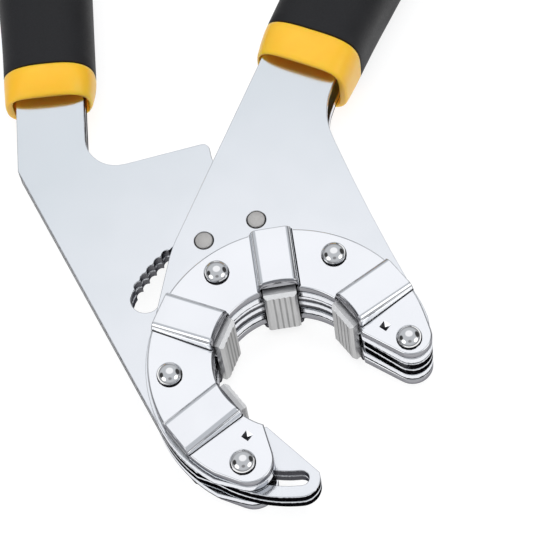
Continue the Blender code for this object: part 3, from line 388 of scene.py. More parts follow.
def ground_steel(name, light, dark, stretch, rough_range, grain, metallic=1):
    """Bare ground steel with grinding lines along the axis that is stretched least."""
    made, tree, shader = new_material(name)
    lines = noise(tree, object_place(tree, stretch), GRINDING_LINES, 3, 0.6)
    cloud = noise(tree, object_place(tree), GRINDING_CLOUDS, 2)
    shader.inputs["Metallic"].default_value = metallic
    colour = mix_colour(tree, spread(tree, lines, 0, 1), light, dark)
    tree.links.new(colour, shader.inputs["Base Color"])
    tree.links.new(colour, shader.inputs["Specular Tint"])
    uneven = spread(tree, lines, -GRINDING_ROUGH, GRINDING_ROUGH)
    rough = add_values(tree, spread(tree, cloud, *rough_range), uneven)
    tree.links.new(rough, shader.inputs["Roughness"])
    bump(tree, shader, lines, grain, GRINDING_BUMP_DISTANCE)
    return made


def moulded_plastic(name):
    """Glossy yellow plastic with a faint moulding skin."""
    made, tree, shader = new_material(name)
    place = object_place(tree)
    cloud = noise(tree, place, YELLOW_CLOUDS, 2)
    skin_grain = noise(tree, place, YELLOW_GRAIN, 2)
    colour = mix_colour(tree, spread(tree, cloud, 0, 1), YELLOW, DEEP_YELLOW)
    tree.links.new(colour, shader.inputs["Base Color"])
    tree.links.new(spread(tree, cloud, *YELLOW_ROUGH), shader.inputs["Roughness"])
    shader.inputs["IOR"].default_value = 1.46
    shader.inputs["Subsurface Weight"].default_value = 0.5
    shader.inputs["Subsurface Radius"].default_value = YELLOW_SCATTER
    shader.inputs["Subsurface Scale"].default_value = 1
    bump(tree, shader, skin_grain, *YELLOW_BUMP)
    return made


def soft_rubber(name):
    """Matt black rubber with a fine grain."""
    made, tree, shader = new_material(name)
    place = object_place(tree)
    cloud = noise(tree, place, RUBBER_CLOUDS, 3)
    grain = noise(tree, place, RUBBER_GRAIN, 3, 0.6)
    colour = mix_colour(tree, spread(tree, cloud, 0, 1), BLACK, WORN_BLACK)
    tree.links.new(colour, shader.inputs["Base Color"])
    uneven = spread(tree, grain, -RUBBER_GRAIN_ROUGH, RUBBER_GRAIN_ROUGH)
    rough = add_values(tree, spread(tree, cloud, *RUBBER_ROUGH), uneven)
    tree.links.new(rough, shader.inputs["Roughness"])
    shader.inputs["Specular IOR Level"].default_value = 0.4
    bump(tree, shader, grain, *RUBBER_BUMP)
    return made


PLATE_CHROME = chrome(
    "plate_chrome", (0.84, 0.855, 0.88), (0.82, 0.84, 0.865), (0.13, 0.2), 0.05, far=(0.69, 0.73, 0.76)
)
COVER_CHROME = chrome("cover_chrome", (0.90, 0.91, 0.93), (0.88, 0.89, 0.91), (0.09, 0.14), 0.04)
RIVET_CHROME = chrome("rivet_chrome", grey(0.90), grey(0.87), (0.02, 0.05), 0.012)
JAW_STEEL = ground_steel("jaw_steel", grey(0.60), grey(0.52), UPRIGHT_GRAIN, (0.3, 0.4), 0.25)
# Painted shade: a darker copy of the jaw steel for one flank of each flute
JAW_FLANK_SHADE = ground_steel("jaw_flank_painted_shade", grey(0.40), grey(0.32), UPRIGHT_GRAIN, (0.3, 0.4), 0.25)
# Painted highlight: a near-white, half-metal steel for the jaws' chamfers
JAW_BEVEL_HIGHLIGHT = ground_steel("jaw_bevel_painted_highlight", grey(0.94), grey(0.86), EVEN_GRAIN, (0.35, 0.45), 0.2, metallic=0.35)
# Painted shade: near-black steel for the feet of the channels, one side of each mark and the rims of the rivets
PAINTED_DARK_SHADE = ground_steel(
    "painted_dark_shade", (0.06, 0.06, 0.065), (0.02, 0.02, 0.022), EVEN_GRAIN, (0.3, 0.5), 0.3
)
PIN_STEEL = ground_steel("pin_steel", (0.72, 0.70, 0.67), (0.60, 0.58, 0.55), EVEN_GRAIN, (0.4, 0.5), 0.4)
MATERIALS = {
    "plate_chrome": PLATE_CHROME,
    "rivet_chrome": RIVET_CHROME,
    "pin_steel": PIN_STEEL,
    "jaw_steel": JAW_STEEL,
    "core_plastic": moulded_plastic("core_plastic"),
    "sleeve_rubber": soft_rubber("sleeve_rubber"),
}

# Punched edges, each with its low and high end, bright and dark colour and the bright band's share. The black,
# grey and dark edge colours are painted shade and dark reflection.
BRIGHT_EDGE = (0.86, 0.87, 0.9)
# Painted shade and dark reflection: the black, grey and dark edge colours below
PAINTED_BLACK_EDGE = (0.03, 0.03, 0.034)
PAINTED_GREY_COVER_EDGE = (0.38, 0.38, 0.40)
PAINTED_DARK_COVER_EDGE = (0.10, 0.10, 0.11)
PAINTED_SLOT_SHADE = (0.17, 0.17, 0.18)
SLOT_BRIGHT_SHARE = 0.08
BORE_BRIGHT_SHARE = 0.5
EDGES = {
    "right_plate_front": (RIGHT_PLATE_LOW, RIGHT_PLATE_HIGH, BRIGHT_EDGE, PAINTED_BLACK_EDGE, 0.8),
    "right_plate_rear": (-RIGHT_PLATE_HIGH, -RIGHT_PLATE_LOW, BRIGHT_EDGE, PAINTED_BLACK_EDGE, 0.68),
    "left_plate_front": (LEFT_PLATE_LOW, LEFT_PLATE_HIGH, BRIGHT_EDGE, PAINTED_BLACK_EDGE, 0.08),
    "left_plate_rear": (-LEFT_PLATE_HIGH, -LEFT_PLATE_LOW, BRIGHT_EDGE, PAINTED_BLACK_EDGE, 0.12),
    "front_cover": (COVER_LOW, COVER_HIGH, PAINTED_GREY_COVER_EDGE, PAINTED_DARK_COVER_EDGE, 0.8),
    "rear_cover": (-COVER_HIGH, -COVER_LOW, PAINTED_GREY_COVER_EDGE, PAINTED_DARK_COVER_EDGE, 0.8),
}

# Where the faces of an edge, a slot, the bore, a crease, a mark, a rivet's rim and a flute begin and end
EDGE_LEAN = 0.6
SLOT_PROBE = 0.0003
BORE_REACH = 0.0008
COVER_EDGE_REACH = 0.00025
LIP_SHARE = 0.6
CREASE_SHARE = 0.75
CREASE_UNSHADED_SIDE = -0.6
MARK_SHADED_SIDE = 0.2
MARK_FLATTEST = 0.95
RIVET_RIM_SLOPE = 0.42
JAW_BEVEL_LEANS = (0.6, 0.8)
JAW_FACING = 0.9
JAW_FLANK_LEAN = 0.12


# Pieces

def new_object(name, data):
    made = bpy.data.objects.new(name, data)
    bpy.context.scene.collection.objects.link(made)
    return made


def add_piece(mesh, node, finish=None, weighted=True):
    """A finished mesh in world places that stands for a solid and rides on its body."""
    made = new_object(mesh.name, mesh)
    mesh.materials.clear()
    mesh.materials.append(finish or MATERIALS[SLOT_OF[node]])
    if weighted:
        modifier = made.modifiers.new("normals", "WEIGHTED_NORMAL")
        modifier.keep_sharp = True
        modifier.weight = NORMAL_WEIGHT
    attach(made, BODY_OF[node])
    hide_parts(node)
    return made


def to_mesh(work, name, smooth=True):
    bmesh.ops.recalc_face_normals(work, faces=work.faces)
    for face in work.faces:
        face.smooth = smooth
    mesh = bpy.data.meshes.new(name)
    work.to_mesh(mesh)
    work.free()
    return mesh


def polar(radius, degrees):
    return Vector((radius * math.cos(math.radians(degrees)), radius * math.sin(math.radians(degrees))))


def cap_loops(node, height):
    """The edges of a solid's flat face at one height, as loops with the material on their left."""
    work = bmesh.new()
    work.from_mesh(nodes[node].data)
    bmesh.ops.remove_doubles(work, verts=work.verts, dist=MERGE_DISTANCE)
    cap = [f for f in work.faces if all(abs(v.co.z - height) < CAP_TOLERANCE for v in f.verts)]
    members = set(cap)
    following = {}
    for face in cap:
        for corner in face.loops:
            if sum(other in members for other in corner.edge.link_faces) == 1:
                ends = (corner.vert, corner.link_loop_next.vert)
                start, end = ends if face.normal.z > 0 else ends[::-1]
                following[start] = end
    loops = []
    while following:
        loop = []
        vertex = next(iter(following))
        while vertex in following:
            loop.append(vertex.co.xy.copy())
            vertex = following.pop(vertex)
        loops.append(round_arcs(clean_loop(loop)))
    work.free()
    return loops


def clean_loop(loop):
    """Drops points that lie on a straight line between their neighbours."""
    kept = []
    for index, point in enumerate(loop):
        before = (point - loop[index - 1]).normalized()
        after = (loop[(index + 1) % len(loop)] - point).normalized()
        if abs(before.cross(after)) > STRAIGHT_CROSS:
            kept.append(point)
    return kept


def round_arcs(loop):
    """Adds points between evenly turning neighbours, so that the arcs of the solid look round."""
    turns = []
    for index, point in enumerate(loop):
        before = point - loop[index - 1]
        after = loop[(index + 1) % len(loop)] - point
        turns.append(math.atan2(before.cross(after), before.dot(after)))
    rounded = []
    for index, point in enumerate(loop):
        rounded.append(point)
        ends = (turns[index], turns[(index + 1) % len(loop)])
        small, large = sorted(abs(turn) for turn in ends)
        turning = math.radians(ARC_LEAST_TURN_DEG) < small and large < math.radians(ARC_MOST_TURN_DEG)
        if ends[0] * ends[1] <= 0 or not turning or small < large * ARC_EVENNESS:
            continue
        chord = loop[(index + 1) % len(loop)] - point
        bulge = math.tan(sum(ends) / 8) / 2
        outward = Vector((chord.y, -chord.x))
        for share in ARC_SHARES:
            rounded.append(point + chord * share + outward * bulge * 4 * share * (1 - share))
    return rounded


def inset_loop(loop, inset):
    """A loop moved into the material on its left."""
    moved = []
    for index, point in enumerate(loop):
        before = (point - loop[index - 1]).normalized()
        after = (loop[(index + 1) % len(loop)] - point).normalized()
        side = Vector((-before.y - after.y, before.x + after.x))
        reach = side.length / 2
        moved.append(point + side.normalized() * (inset / max(reach, LEAST_MITRE)))
    return moved


def signed_area(loop):
    return sum(loop[n - 1].cross(loop[n]) for n in range(len(loop))) / 2


def inside(point, loop):
    crossed = False
    for index, second in enumerate(loop):
        first = loop[index - 1]
        if (first.y > point.y) != (second.y > point.y):
            if point.x < (second.x - first.x) * (point.y - first.y) / (second.y - first.y) + first.x:
                crossed = not crossed
    return crossed


def rounded_slab(work, loops, low, high, radius):
    """Adds a plate with rounded edges: outer loops run counter-clockwise and holes clockwise."""
    steps = round_steps(radius)
    rings = [(inset, low + rise) for inset, rise in steps]
    rings += [(inset, high - rise) for inset, rise in reversed(steps)]
    caps = []
    for loop in loops:
        rows = []
        for inset, height in rings:
            rows.append([work.verts.new((point.x, point.y, height)) for point in inset_loop(loop, inset)])
        bridge_rows(work, rows)
        caps.append((rows[0], rows[-1]))
    for outer, outer_rows in zip(loops, caps):
        if signed_area(outer) < 0:
            continue
        members = [outer_rows]
        for hole, hole_rows in zip(loops, caps):
            if signed_area(hole) < 0 and inside(hole[0], outer):
                members.append(hole_rows)
        fill_cap(work, [rows[0] for rows in members])
        fill_cap(work, [rows[1] for rows in members])


def round_steps(radius):
    """Insets and rises from the tip of a rounded edge to where it meets the face."""
    turns = [math.pi / 2 * step / EDGE_STEPS for step in range(EDGE_STEPS + 1)]
    return [(radius * (1 - math.sin(turn)), radius * (1 - math.cos(turn))) for turn in turns]


def bridge_rows(work, rows):
    """Faces between closed rows of vertices."""
    count = len(rows[0])
    for row, following in zip(rows, rows[1:]):
        for n in range(count):
            work.faces.new((row[n], row[(n + 1) % count], following[(n + 1) % count], following[n]))


def fill_cap(work, loops):
    """Faces inside an outer row of vertices and round the rows of its holes."""
    vertices = [vertex for loop in loops for vertex in loop]
    for triangle in tessellate_polygon([[vertex.co.copy() for vertex in loop] for loop in loops]):
        corners = [vertices[index] for index in triangle]
        if len(set(corners)) == 3:
            try:
                work.faces.new(corners)
            except ValueError:
                pass  # the face is already there


def finish_edges(piece, node, on_edge):
    """Gives the upright faces that lie on a sheet's edge their own finish, which carries painted shade and dark
    reflection.
    """
    mesh = piece.data
    mesh.materials.append(cut_edge(node + "_edge", *EDGES[node]))
    for face in mesh.polygons:
        if abs(face.normal.z) < EDGE_LEAN and on_edge(face.center - HEAD):
            face.material_index = 1


def make_plate(node):
    """A handle plate with rounded edges. Returns its mesh and outlines."""
    low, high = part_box(node)
    work = bmesh.new()
    loops = cap_loops(node, high[2])
    rounded_slab(work, loops, low[2], high[2], PLATE_EDGE_RADIUS)
    mesh = to_mesh(work, node + "_shell")
    finish_edges(add_piece(mesh, node), node, lambda place: True)
    return mesh, loops


def make_slotted_plate(node):
    """An inner plate: the edges of its slots get painted grey shade, and those of the bore have a brighter band
    above painted shade.
    """
    mesh, loops = make_plate(node)
    bottom, top, bright = EDGES[node][:3]
    mesh.materials.append(cut_edge(node + "_slot", bottom, top, bright, PAINTED_SLOT_SHADE, SLOT_BRIGHT_SHARE))
    mesh.materials.append(cut_edge(node + "_bore", bottom, top, bright, PAINTED_SLOT_SHADE, BORE_BRIGHT_SHARE))
    holes = [loop for loop in loops if signed_area(loop) < 0]
    for face in mesh.polygons:
        if face.material_index == 0:
            continue
        ahead = (face.center + face.normal * SLOT_PROBE).xy
        if any(inside(ahead, hole) for hole in holes):
            face.material_index = 2
        elif (face.center - HEAD).xy.length < HEAD_INNER_RADIUS + BORE_REACH:
            face.material_index = 3


def fillet(before, corner, after, radius):
    """Points of the arc that rounds one corner."""
    to_before = (before - corner).normalized()
    to_after = (after - corner).normalized()
    half = to_before.angle(to_after) / 2
    centre = corner + (to_before + to_after).normalized() * (radius / math.sin(half))
    first = corner + to_before * (radius / math.tan(half)) - centre
    last = corner + to_after * (radius / math.tan(half)) - centre
    start = math.atan2(first.y, first.x)
    sweep = (math.atan2(last.y, last.x) - start + math.pi) % (2 * math.pi) - math.pi
    turns = [start + sweep * step / FILLET_STEPS for step in range(FILLET_STEPS + 1)]
    return [centre + Vector((math.cos(turn), math.sin(turn))) * radius for turn in turns]


def rib_rise(reach):
    share = (reach - HEAD_INNER_RADIUS) / (RIB_OUTER_REACH - HEAD_INNER_RADIUS)
    return RIB_INNER_RISE + (RIB_OUTER_RISE - RIB_INNER_RISE) * share


def outer_path(rise, inset):
    """Half of a channel's outer path, from its foot on the sheet to the middle of its roof."""
    side_inset = min(inset, RIB_WALL_ROUNDING)
    full = COVER_HIGH + RIB_INNER_RISE - COVER_MIDDLE
    height = COVER_HIGH + rise - COVER_MIDDLE
    top_half = RIB_FOOT_HALF_WIDTH - (RIB_FOOT_HALF_WIDTH - RIB_TOP_HALF_WIDTH) * height / full
    flat = COVER_HIGH - FOOT_OVERLAP
    foot_half = RIB_FOOT_HALF_WIDTH - (RIB_FOOT_HALF_WIDTH - top_half) * (flat - COVER_MIDDLE) / height
    low_corner = Vector((foot_half - side_inset, flat))
    high_corner = Vector((top_half - side_inset, COVER_HIGH + rise - inset))
    beyond = Vector((RIB_FOOT_HALF_WIDTH * 2, flat))
    points = fillet(beyond, low_corner, high_corner, RIB_FOOT_FILLET)
    points = [Vector((points[0].x, COVER_MIDDLE))] + points
    middle = Vector((0, high_corner.y + RIB_CROWN))
    shoulder = fillet(low_corner, high_corner, middle, RIB_EDGE_RADIUS - side_inset / 2)
    end = shoulder[-1]
    crown = []
    for step in range(1, EDGE_STEPS + 1):
        share = step / (EDGE_STEPS + 1)
        swelling = (middle.y - end.y) * (1 - (1 - share) ** 2)
        crown.append(Vector((end.x * (1 - share), end.y + swelling)))
    return points + shoulder + crown


def inner_path(rise, inset, count):
    """Half of the channel's inner path, with as many points as the outer one."""
    side_inset = min(inset, RIB_WALL_ROUNDING)
    half = CHANNEL_HALF_WIDTH + side_inset
    foot = Vector((half, COVER_MIDDLE))
    corner = Vector((half, COVER_LOW + rise + inset))
    arc = fillet(foot, corner, Vector((0, corner.y)), CHANNEL_EDGE_RADIUS + side_inset / 2)
    spare = count - len(arc)
    straight = [foot + (arc[0] - foot) * (n / spare) for n in range(spare)]
    return straight + arc


def whole_path(half):
    """A half path, from its foot to the middle, with its mirror image."""
    return [Vector((-point.x, point.y)) for point in half] + half[::-1]


def arch_section(reach, inset):
    """The outer and the inner path of a channel's wall at one reach, both drawn in by an inset."""
    rise = rib_rise(reach)
    outer = outer_path(rise, inset)
    return whole_path(outer), whole_path(inner_path(rise, inset, len(outer)))


def add_arch(work, angle, side):
    """A raised channel over one jaw, rounded at both ends."""
    rows = []
    inner_end = [(inset, rise, 0) for inset, rise in round_steps(RIB_INNER_END_RADIUS)]
    outer_end = [(inset, rise, 1) for inset, rise in reversed(round_steps(RIB_OUTER_END_RADIUS))]
    turn = Matrix.Rotation(math.radians(angle), 3, "Z")
    for inset, back, share in inner_end + outer_end:
        reach = HEAD_INNER_RADIUS + (RIB_OUTER_REACH - HEAD_INNER_RADIUS) * share
        outer, inner = arch_section(reach, inset)
        row = []
        for point in outer + inner[::-1]:
            if share:
                place = RIB_OUTER_REACH - back
            else:
                place = math.sqrt(HEAD_INNER_RADIUS**2 - point.x**2) + back
            spot = turn @ Vector((place, point.x, 0))
            row.append(work.verts.new((spot.x, spot.y, point.y * side)))
        rows.append(row)
    bridge_rows(work, rows)
    for row in (rows[0], rows[-1]):
        count = len(row)
        for n in range(count // 2 - 1):
            work.faces.new((row[n], row[n + 1], row[count - 2 - n], row[count - 1 - n]))


def mark_cutter(name, radius, angle, side):
    """A square pyramid, centred on the cover's face, with its tip in the sheet."""
    work = bmesh.new()
    bmesh.ops.create_cone(
        work,
        cap_ends=True,
        segments=4,
        radius1=MARK_WIDTH / math.sqrt(2) * 2,
        radius2=0,
        depth=MARK_DEPTH * 2,
        matrix=Matrix.Rotation(math.pi if side > 0 else 0, 4, "X"),
    )
    made = new_object(name, to_mesh(work, name, False))
    place = polar(radius, angle)
    made.location = HEAD + Vector((place.x, place.y, COVER_HIGH * side))
    return made


def apply_booleans(base, cutters):
    """The mesh of base, joined with or cut by the given objects. All of the objects are then removed."""
    for operation, cutter in cutters:
        modifier = base.modifiers.new("cut", "BOOLEAN")
        modifier.operation = operation
        modifier.object = cutter
        modifier.solver = "MANIFOLD"
    graph = bpy.context.evaluated_depsgraph_get()
    mesh = bpy.data.meshes.new_from_object(base.evaluated_get(graph))
    for _, cutter in cutters:
        bpy.data.objects.remove(cutter)
    bpy.data.objects.remove(base)
    return mesh


def on_cover_edge(place):
    """Whether a face is at the sheet's bore, rim or ends."""
    reach = place.xy.length
    angle = math.degrees(math.atan2(place.y, place.x)) % 360
    at_end = not MOUTH_FIRST_DEG < angle < MOUTH_LAST_DEG
    return reach < HEAD_INNER_RADIUS + COVER_EDGE_REACH or reach > COVER_RADIUS - COVER_EDGE_REACH or at_end


def on_channel_lip(place):
    """Whether a face is on the rounded end of a channel at the bore."""
    lip_end = HEAD_INNER_RADIUS + RIB_INNER_END_RADIUS * LIP_SHARE
    return abs(place.z) > COVER_HIGH and place.xy.length < lip_end


def in_painted_crease_shade(height, normal):
    """Whether a face lies in the fillet at the foot of a channel, on the side that gets painted shade."""
    shaded_side = normal.xy.length > 0 and normal.x / normal.xy.length > CREASE_UNSHADED_SIDE
    return shaded_side and COVER_HIGH + MERGE_DISTANCE < height < COVER_HIGH + RIB_FOOT_FILLET * CREASE_SHARE


def in_mark(place, normal):
    """Whether a face is one of the facets of a punched mark on the side that gets painted shade."""
    near = any((place.xy - polar(radius, angle)).length < MARK_WIDTH for radius, angle in MARKS)
    shaded = normal.x > MARK_SHADED_SIDE and abs(normal.z) < MARK_FLATTEST
    return near and shaded and abs(place.z) < COVER_HIGH


def make_cover(node, side):
    """A pressed cover with its channels and marks, on the side of the head that side's sign gives."""
    foot = HEAD.z + COVER_LOW * side
    bottom, top = sorted((foot, HEAD.z + COVER_HIGH * side))
    work = bmesh.new()
    rounded_slab(work, cap_loops(node, foot), bottom, top, COVER_EDGE_RADIUS)
    base = new_object(node + "_sheet", to_mesh(work, node + "_sheet"))
    tools = []
    for angle in JAW_ANGLES_DEG:
        arch = bmesh.new()
        add_arch(arch, angle, side)
        bmesh.ops.translate(arch, verts=arch.verts, vec=HEAD)
        tools.append(("UNION", new_object(f"arch_{angle}", to_mesh(arch, f"arch_{angle}"))))
    for radius, angle in MARKS:
        tools.append(("DIFFERENCE", mark_cutter(f"mark_{angle:.0f}", radius, angle, side)))
    mesh = apply_booleans(base, tools)
    mesh.name = node + "_shell"
    mark_sharp(mesh, COVER_SHARP_DEG)
    finish_edges(add_piece(mesh, node, COVER_CHROME), node, on_cover_edge)
    # Painted shade on the channels' feet and on one side of each mark; the channels' rounded ends at the bore get
    # the edge's painted grey and shade
    mesh.materials.append(PAINTED_DARK_SHADE)
    for face in mesh.polygons:
        place = face.center - HEAD
        if in_painted_crease_shade(place.z * side, face.normal) or in_mark(place, face.normal):
            face.material_index = 2
        elif on_channel_lip(place):
            face.material_index = 1


def mark_sharp(mesh, degrees):
    """Smooth faces, with the edges sharp where they turn by more than this."""
    mesh.polygons.foreach_set("use_smooth", [True] * len(mesh.polygons))
    mesh.set_sharp_from_angle(angle=math.radians(degrees))


def lathe(name, profile, centre):
    """A turned mesh from a profile of radii and heights that runs down its outer side."""
    work = bmesh.new()
    rows = []
    for radius, height in profile:
        if radius == 0:
            rows.append([work.verts.new(centre + Vector((0, 0, height)))])
            continue
        ring = []
        for step in range(LATHE_STEPS):
            spot = polar(radius, 360 * step / LATHE_STEPS)
            ring.append(work.verts.new(centre + Vector((spot.x, spot.y, height))))
        rows.append(ring)
    for row, following in zip(rows, rows[1:]):
        for n in range(LATHE_STEPS):
            after = (n + 1) % LATHE_STEPS
            if len(row) == 1:
                work.faces.new((row[0], following[n], following[after]))
            elif len(following) == 1:
                work.faces.new((row[n], following[0], row[after]))
            else:
                work.faces.new((row[n], following[n], following[after], row[after]))
    mesh = to_mesh(work, name)
    mark_sharp(mesh, TURNED_SHARP_DEG)
    return mesh


def rivet_profile():
    """Two elliptical domes, the tenons below them and the shoulder between the tenons."""
    seat = COVER_HIGH + RIVET_SEAT_GAP
    half = []
    for step in range(RIVET_DOME_STEPS + 1):
        turn = math.pi / 2 * step / RIVET_DOME_STEPS
        half.append((RIVET_DOME_RADIUS * math.sin(turn), seat + RIVET_DOME_HEIGHT * math.cos(turn)))
    half += [(RIVET_TENON_RADIUS, seat), (RIVET_TENON_RADIUS, LEFT_PLATE_HIGH)]
    half.append((RIVET_SHOULDER_RADIUS, LEFT_PLATE_HIGH))
    return half + [(radius, -height) for radius, height in reversed(half)]


def make_rivets():
    for number, angle in enumerate(RIVET_ANGLES_DEG, 1):
        centre = HEAD + polar(RIVET_CIRCLE_RADIUS, angle).to_3d()
        node = f"head_rivet_{number}"
        mesh = lathe(node + "_shell", rivet_profile(), centre)
        add_piece(mesh, node, weighted=False)
        # Painted shade: the steep rims of the domes above the covers get near-black steel
        mesh.materials.append(PAINTED_DARK_SHADE)
        for face in mesh.polygons:
            if abs(face.normal.z) < RIVET_RIM_SLOPE and abs(face.center.z - HEAD.z) > COVER_HIGH:
                face.material_index = 1


def make_guide_pins():
    high = RIGHT_PLATE_HIGH + GUIDE_PIN_PROUD
    radius = GUIDE_PIN_RADIUS
    bevel = GUIDE_PIN_BEVEL
    corner = bevel * GUIDE_PIN_BEVEL_BREAK
    half = [(0, high), (radius - bevel, high), (radius - corner, high - corner), (radius, high - bevel)]
    profile = half + [(reach, -height) for reach, height in reversed(half)]
    for number, angle in enumerate(GUIDE_PIN_ANGLES_DEG, 1):
        centre = HEAD + polar(GUIDE_PIN_CIRCLE_RADIUS, angle).to_3d()
        node = f"guide_pin_{number}"
        add_piece(lathe(node + "_shell", profile, centre), node, weighted=False)


def flute_depth(across):
    """How far a jaw's face stands back at this place across it: rounded ridges and broken corners."""
    span = JAW_HALF_WIDTH - JAW_CORNER_CHAMFER
    corner = abs(across) - span
    if corner > 0:
        return corner
    turns = (across + span) / (2 * span) * JAW_FLUTES
    if turns < 0.5 or turns > JAW_FLUTES - 0.5:
        return 0
    return JAW_FLUTE_DEPTH * math.cos(math.pi * turns) ** 2


def jaw_side(depth):
    """The jaw seen from its side, as reaches and heights, with its face set back by a depth."""
    face = JAW_FACE_RADIUS + depth
    upper = [
        (JAW_FACE_RADIUS + JAW_FACE_THICKNESS, RIGHT_PLATE_LOW),
        (JAW_SHOULDER_RADIUS, RIGHT_PLATE_LOW),
        (JAW_SHOULDER_RADIUS, COVER_LOW),
        (JAW_OUTER_RADIUS, COVER_LOW),
        (JAW_OUTER_RADIUS, JAW_OUTER_HIGH),
        (HEAD_INNER_RADIUS, JAW_HIGH),
        (JAW_FACE_RADIUS + JAW_EDGE_CHAMFER, JAW_HIGH),
        (face, JAW_HIGH - JAW_EDGE_CHAMFER + depth),
    ]
    return upper + [(reach, -height) for reach, height in reversed(upper)]


def make_jaw(node, angle):
    """A jaw with rounded flutes across its face and broken edges, a painted highlight on its chamfers and painted
    shade on one flank of each flute.
    """
    work = bmesh.new()
    rows = []
    for slice_number in range(JAW_SLICES + 1):
        across = JAW_HALF_WIDTH * (2 * slice_number / JAW_SLICES - 1)
        side = jaw_side(flute_depth(across))
        rows.append([work.verts.new((reach, across, height)) for reach, height in side])
    bridge_rows(work, rows)
    fill_cap(work, [rows[0]])
    fill_cap(work, [rows[-1]])
    base = new_object(node + "_blank", to_mesh(work, node + "_blank"))
    hole = bmesh.new()
    bmesh.ops.create_cone(
        hole,
        cap_ends=True,
        segments=LATHE_STEPS // 2,
        radius1=JAW_PIN_HOLE_RADIUS,
        radius2=JAW_PIN_HOLE_RADIUS,
        depth=JAW_HIGH * 3,
        matrix=Matrix.Translation((JAW_PIN_OPEN_RADIUS, 0, 0)),
    )
    cutter = new_object(node + "_hole", to_mesh(hole, node + "_hole"))
    mesh = apply_booleans(base, [("DIFFERENCE", cutter)])
    mesh.transform(Matrix.Translation(HEAD) @ Matrix.Rotation(math.radians(angle), 4, "Z"))
    mesh.name = node + "_shell"
    mark_sharp(mesh, JAW_SHARP_DEG)
    made = add_piece(mesh, node, weighted=False)
    mesh.materials.append(JAW_BEVEL_HIGHLIGHT)
    mesh.materials.append(JAW_FLANK_SHADE)
    inward = -polar(1, angle).to_3d()
    across = polar(1, angle + 90).to_3d()
    # Chamfers get the painted highlight, and flute flanks that face one way get painted shade
    flattest, steepest = JAW_BEVEL_LEANS
    for face in mesh.polygons:
        if flattest < abs(face.normal.z) < steepest:
            face.material_index = 1
        elif face.normal.dot(inward) > JAW_FACING and face.normal.dot(across) > JAW_FLANK_LEAN:
            face.material_index = 2
    bevel = made.modifiers.new("broken_edges", "BEVEL")
    bevel.width = JAW_BROKEN_EDGE
    bevel.segments = 2
    bevel.limit_method = "ANGLE"
    bevel.angle_limit = math.radians(JAW_BEVEL_LIMIT_DEG)
    bevel.harden_normals = True


# Grips

def section(half_width, half_depth, squareness, lateral, reach):
    """A superellipse across the grip's axis: an oval at squareness 2, and squarer above."""
    ring = []
    for number in range(SECTION_POINTS):
        turn = 2 * math.pi * number / SECTION_POINTS
        cosine = math.cos(turn)
        sine = math.sin(turn)
        size = (abs(cosine) ** squareness + abs(sine) ** squareness) ** (1 / squareness)
        ring.append(Vector((lateral + half_width * cosine / size, reach, half_depth * sine / size)))
    return ring


def swell(share):
    """How far the palm side stands out at this share of the grip's length."""
    ends = list(zip(SWELL_SHARES, SWELL_VALUES))
    for (first, low), (last, high) in zip(ends, ends[1:]):
        if share <= last:
            part = (share - first) / (last - first)
            eased = (1 - math.cos(math.pi * part)) / 2
            return (low + (high - low) * eased) * SLEEVE_PALM_SWELL
    return SWELL_VALUES[-1] * SLEEVE_PALM_SWELL


def skin(name, rings, place):
    """A closed mesh through rings, capped at both ends."""
    work = bmesh.new()
    rows = [[work.verts.new(place @ point) for point in ring] for ring in rings]
    bridge_rows(work, rows)
    work.faces.new(rows[0][::-1])
    work.faces.new(rows[-1])
    mesh = to_mesh(work, name)
    mark_sharp(mesh, GRIP_SHARP_DEG)
    return mesh


class GripShape:
    """The sections of one grip, as the solids have them."""

    def __init__(self, name):
        sizes = GRIPS[name]
        self.direction = sizes["direction"]
        self.offset = sizes["offset"]
        self.start = sizes["start"]
        self.width = sizes["width"]
        self.depth = sizes["depth"]
        self.squareness = sizes["squareness"]
        self.collar_length = sizes["collar_length"]
        self.collar_taper = sizes["collar_taper"]
        self.mouth_depth = sizes["mouth_depth"]
        self.palm_flare = sizes["palm_flare"]
        self.tang_width = sizes["tang_width"]
        self.palm_side = sizes["palm_side"]
        self.end = self.start + GRIP_LENGTH
        self.collar_end = self.start + self.collar_length

    def ring(self, reach, inset):
        """The plain section, without flare or swell."""
        return section(self.width / 2 - inset, self.depth / 2 - inset, self.squareness, 0, reach)

    def outer_ring(self, reach, inset, swelling=0):
        """The palm side flares out and the collar narrows to its mouth."""
        along = max(0, reach - self.start)
        flare = self.palm_flare * math.sqrt(min(1, along / FLARE_LENGTH))
        narrowing = 1 - math.cos(math.pi / 2 * max(0, 1 - along / self.collar_length))
        outward = flare + swelling
        drawn_in = self.collar_taper * narrowing
        half_width = (self.width + outward - drawn_in) / 2 - inset
        half_depth = (self.depth + (self.mouth_depth - self.depth) * narrowing) / 2 - inset
        lateral = self.palm_side * (outward + drawn_in) / 2
        return section(half_width, half_depth, self.squareness, lateral, reach)

    def swollen_ring(self, reach, inset):
        return self.outer_ring(reach, inset, swell((reach - self.start) / GRIP_LENGTH))

    def mouth(self, reach, inset=0):
        """The opening in the collar that the tang goes through."""
        half_width = self.tang_width / 2 + COLLAR_SIDE_ROOM - inset
        return section(half_width, self.mouth_depth / 2 - COLLAR_WALL - inset, MOUTH_SQUARENESS, 0, reach)


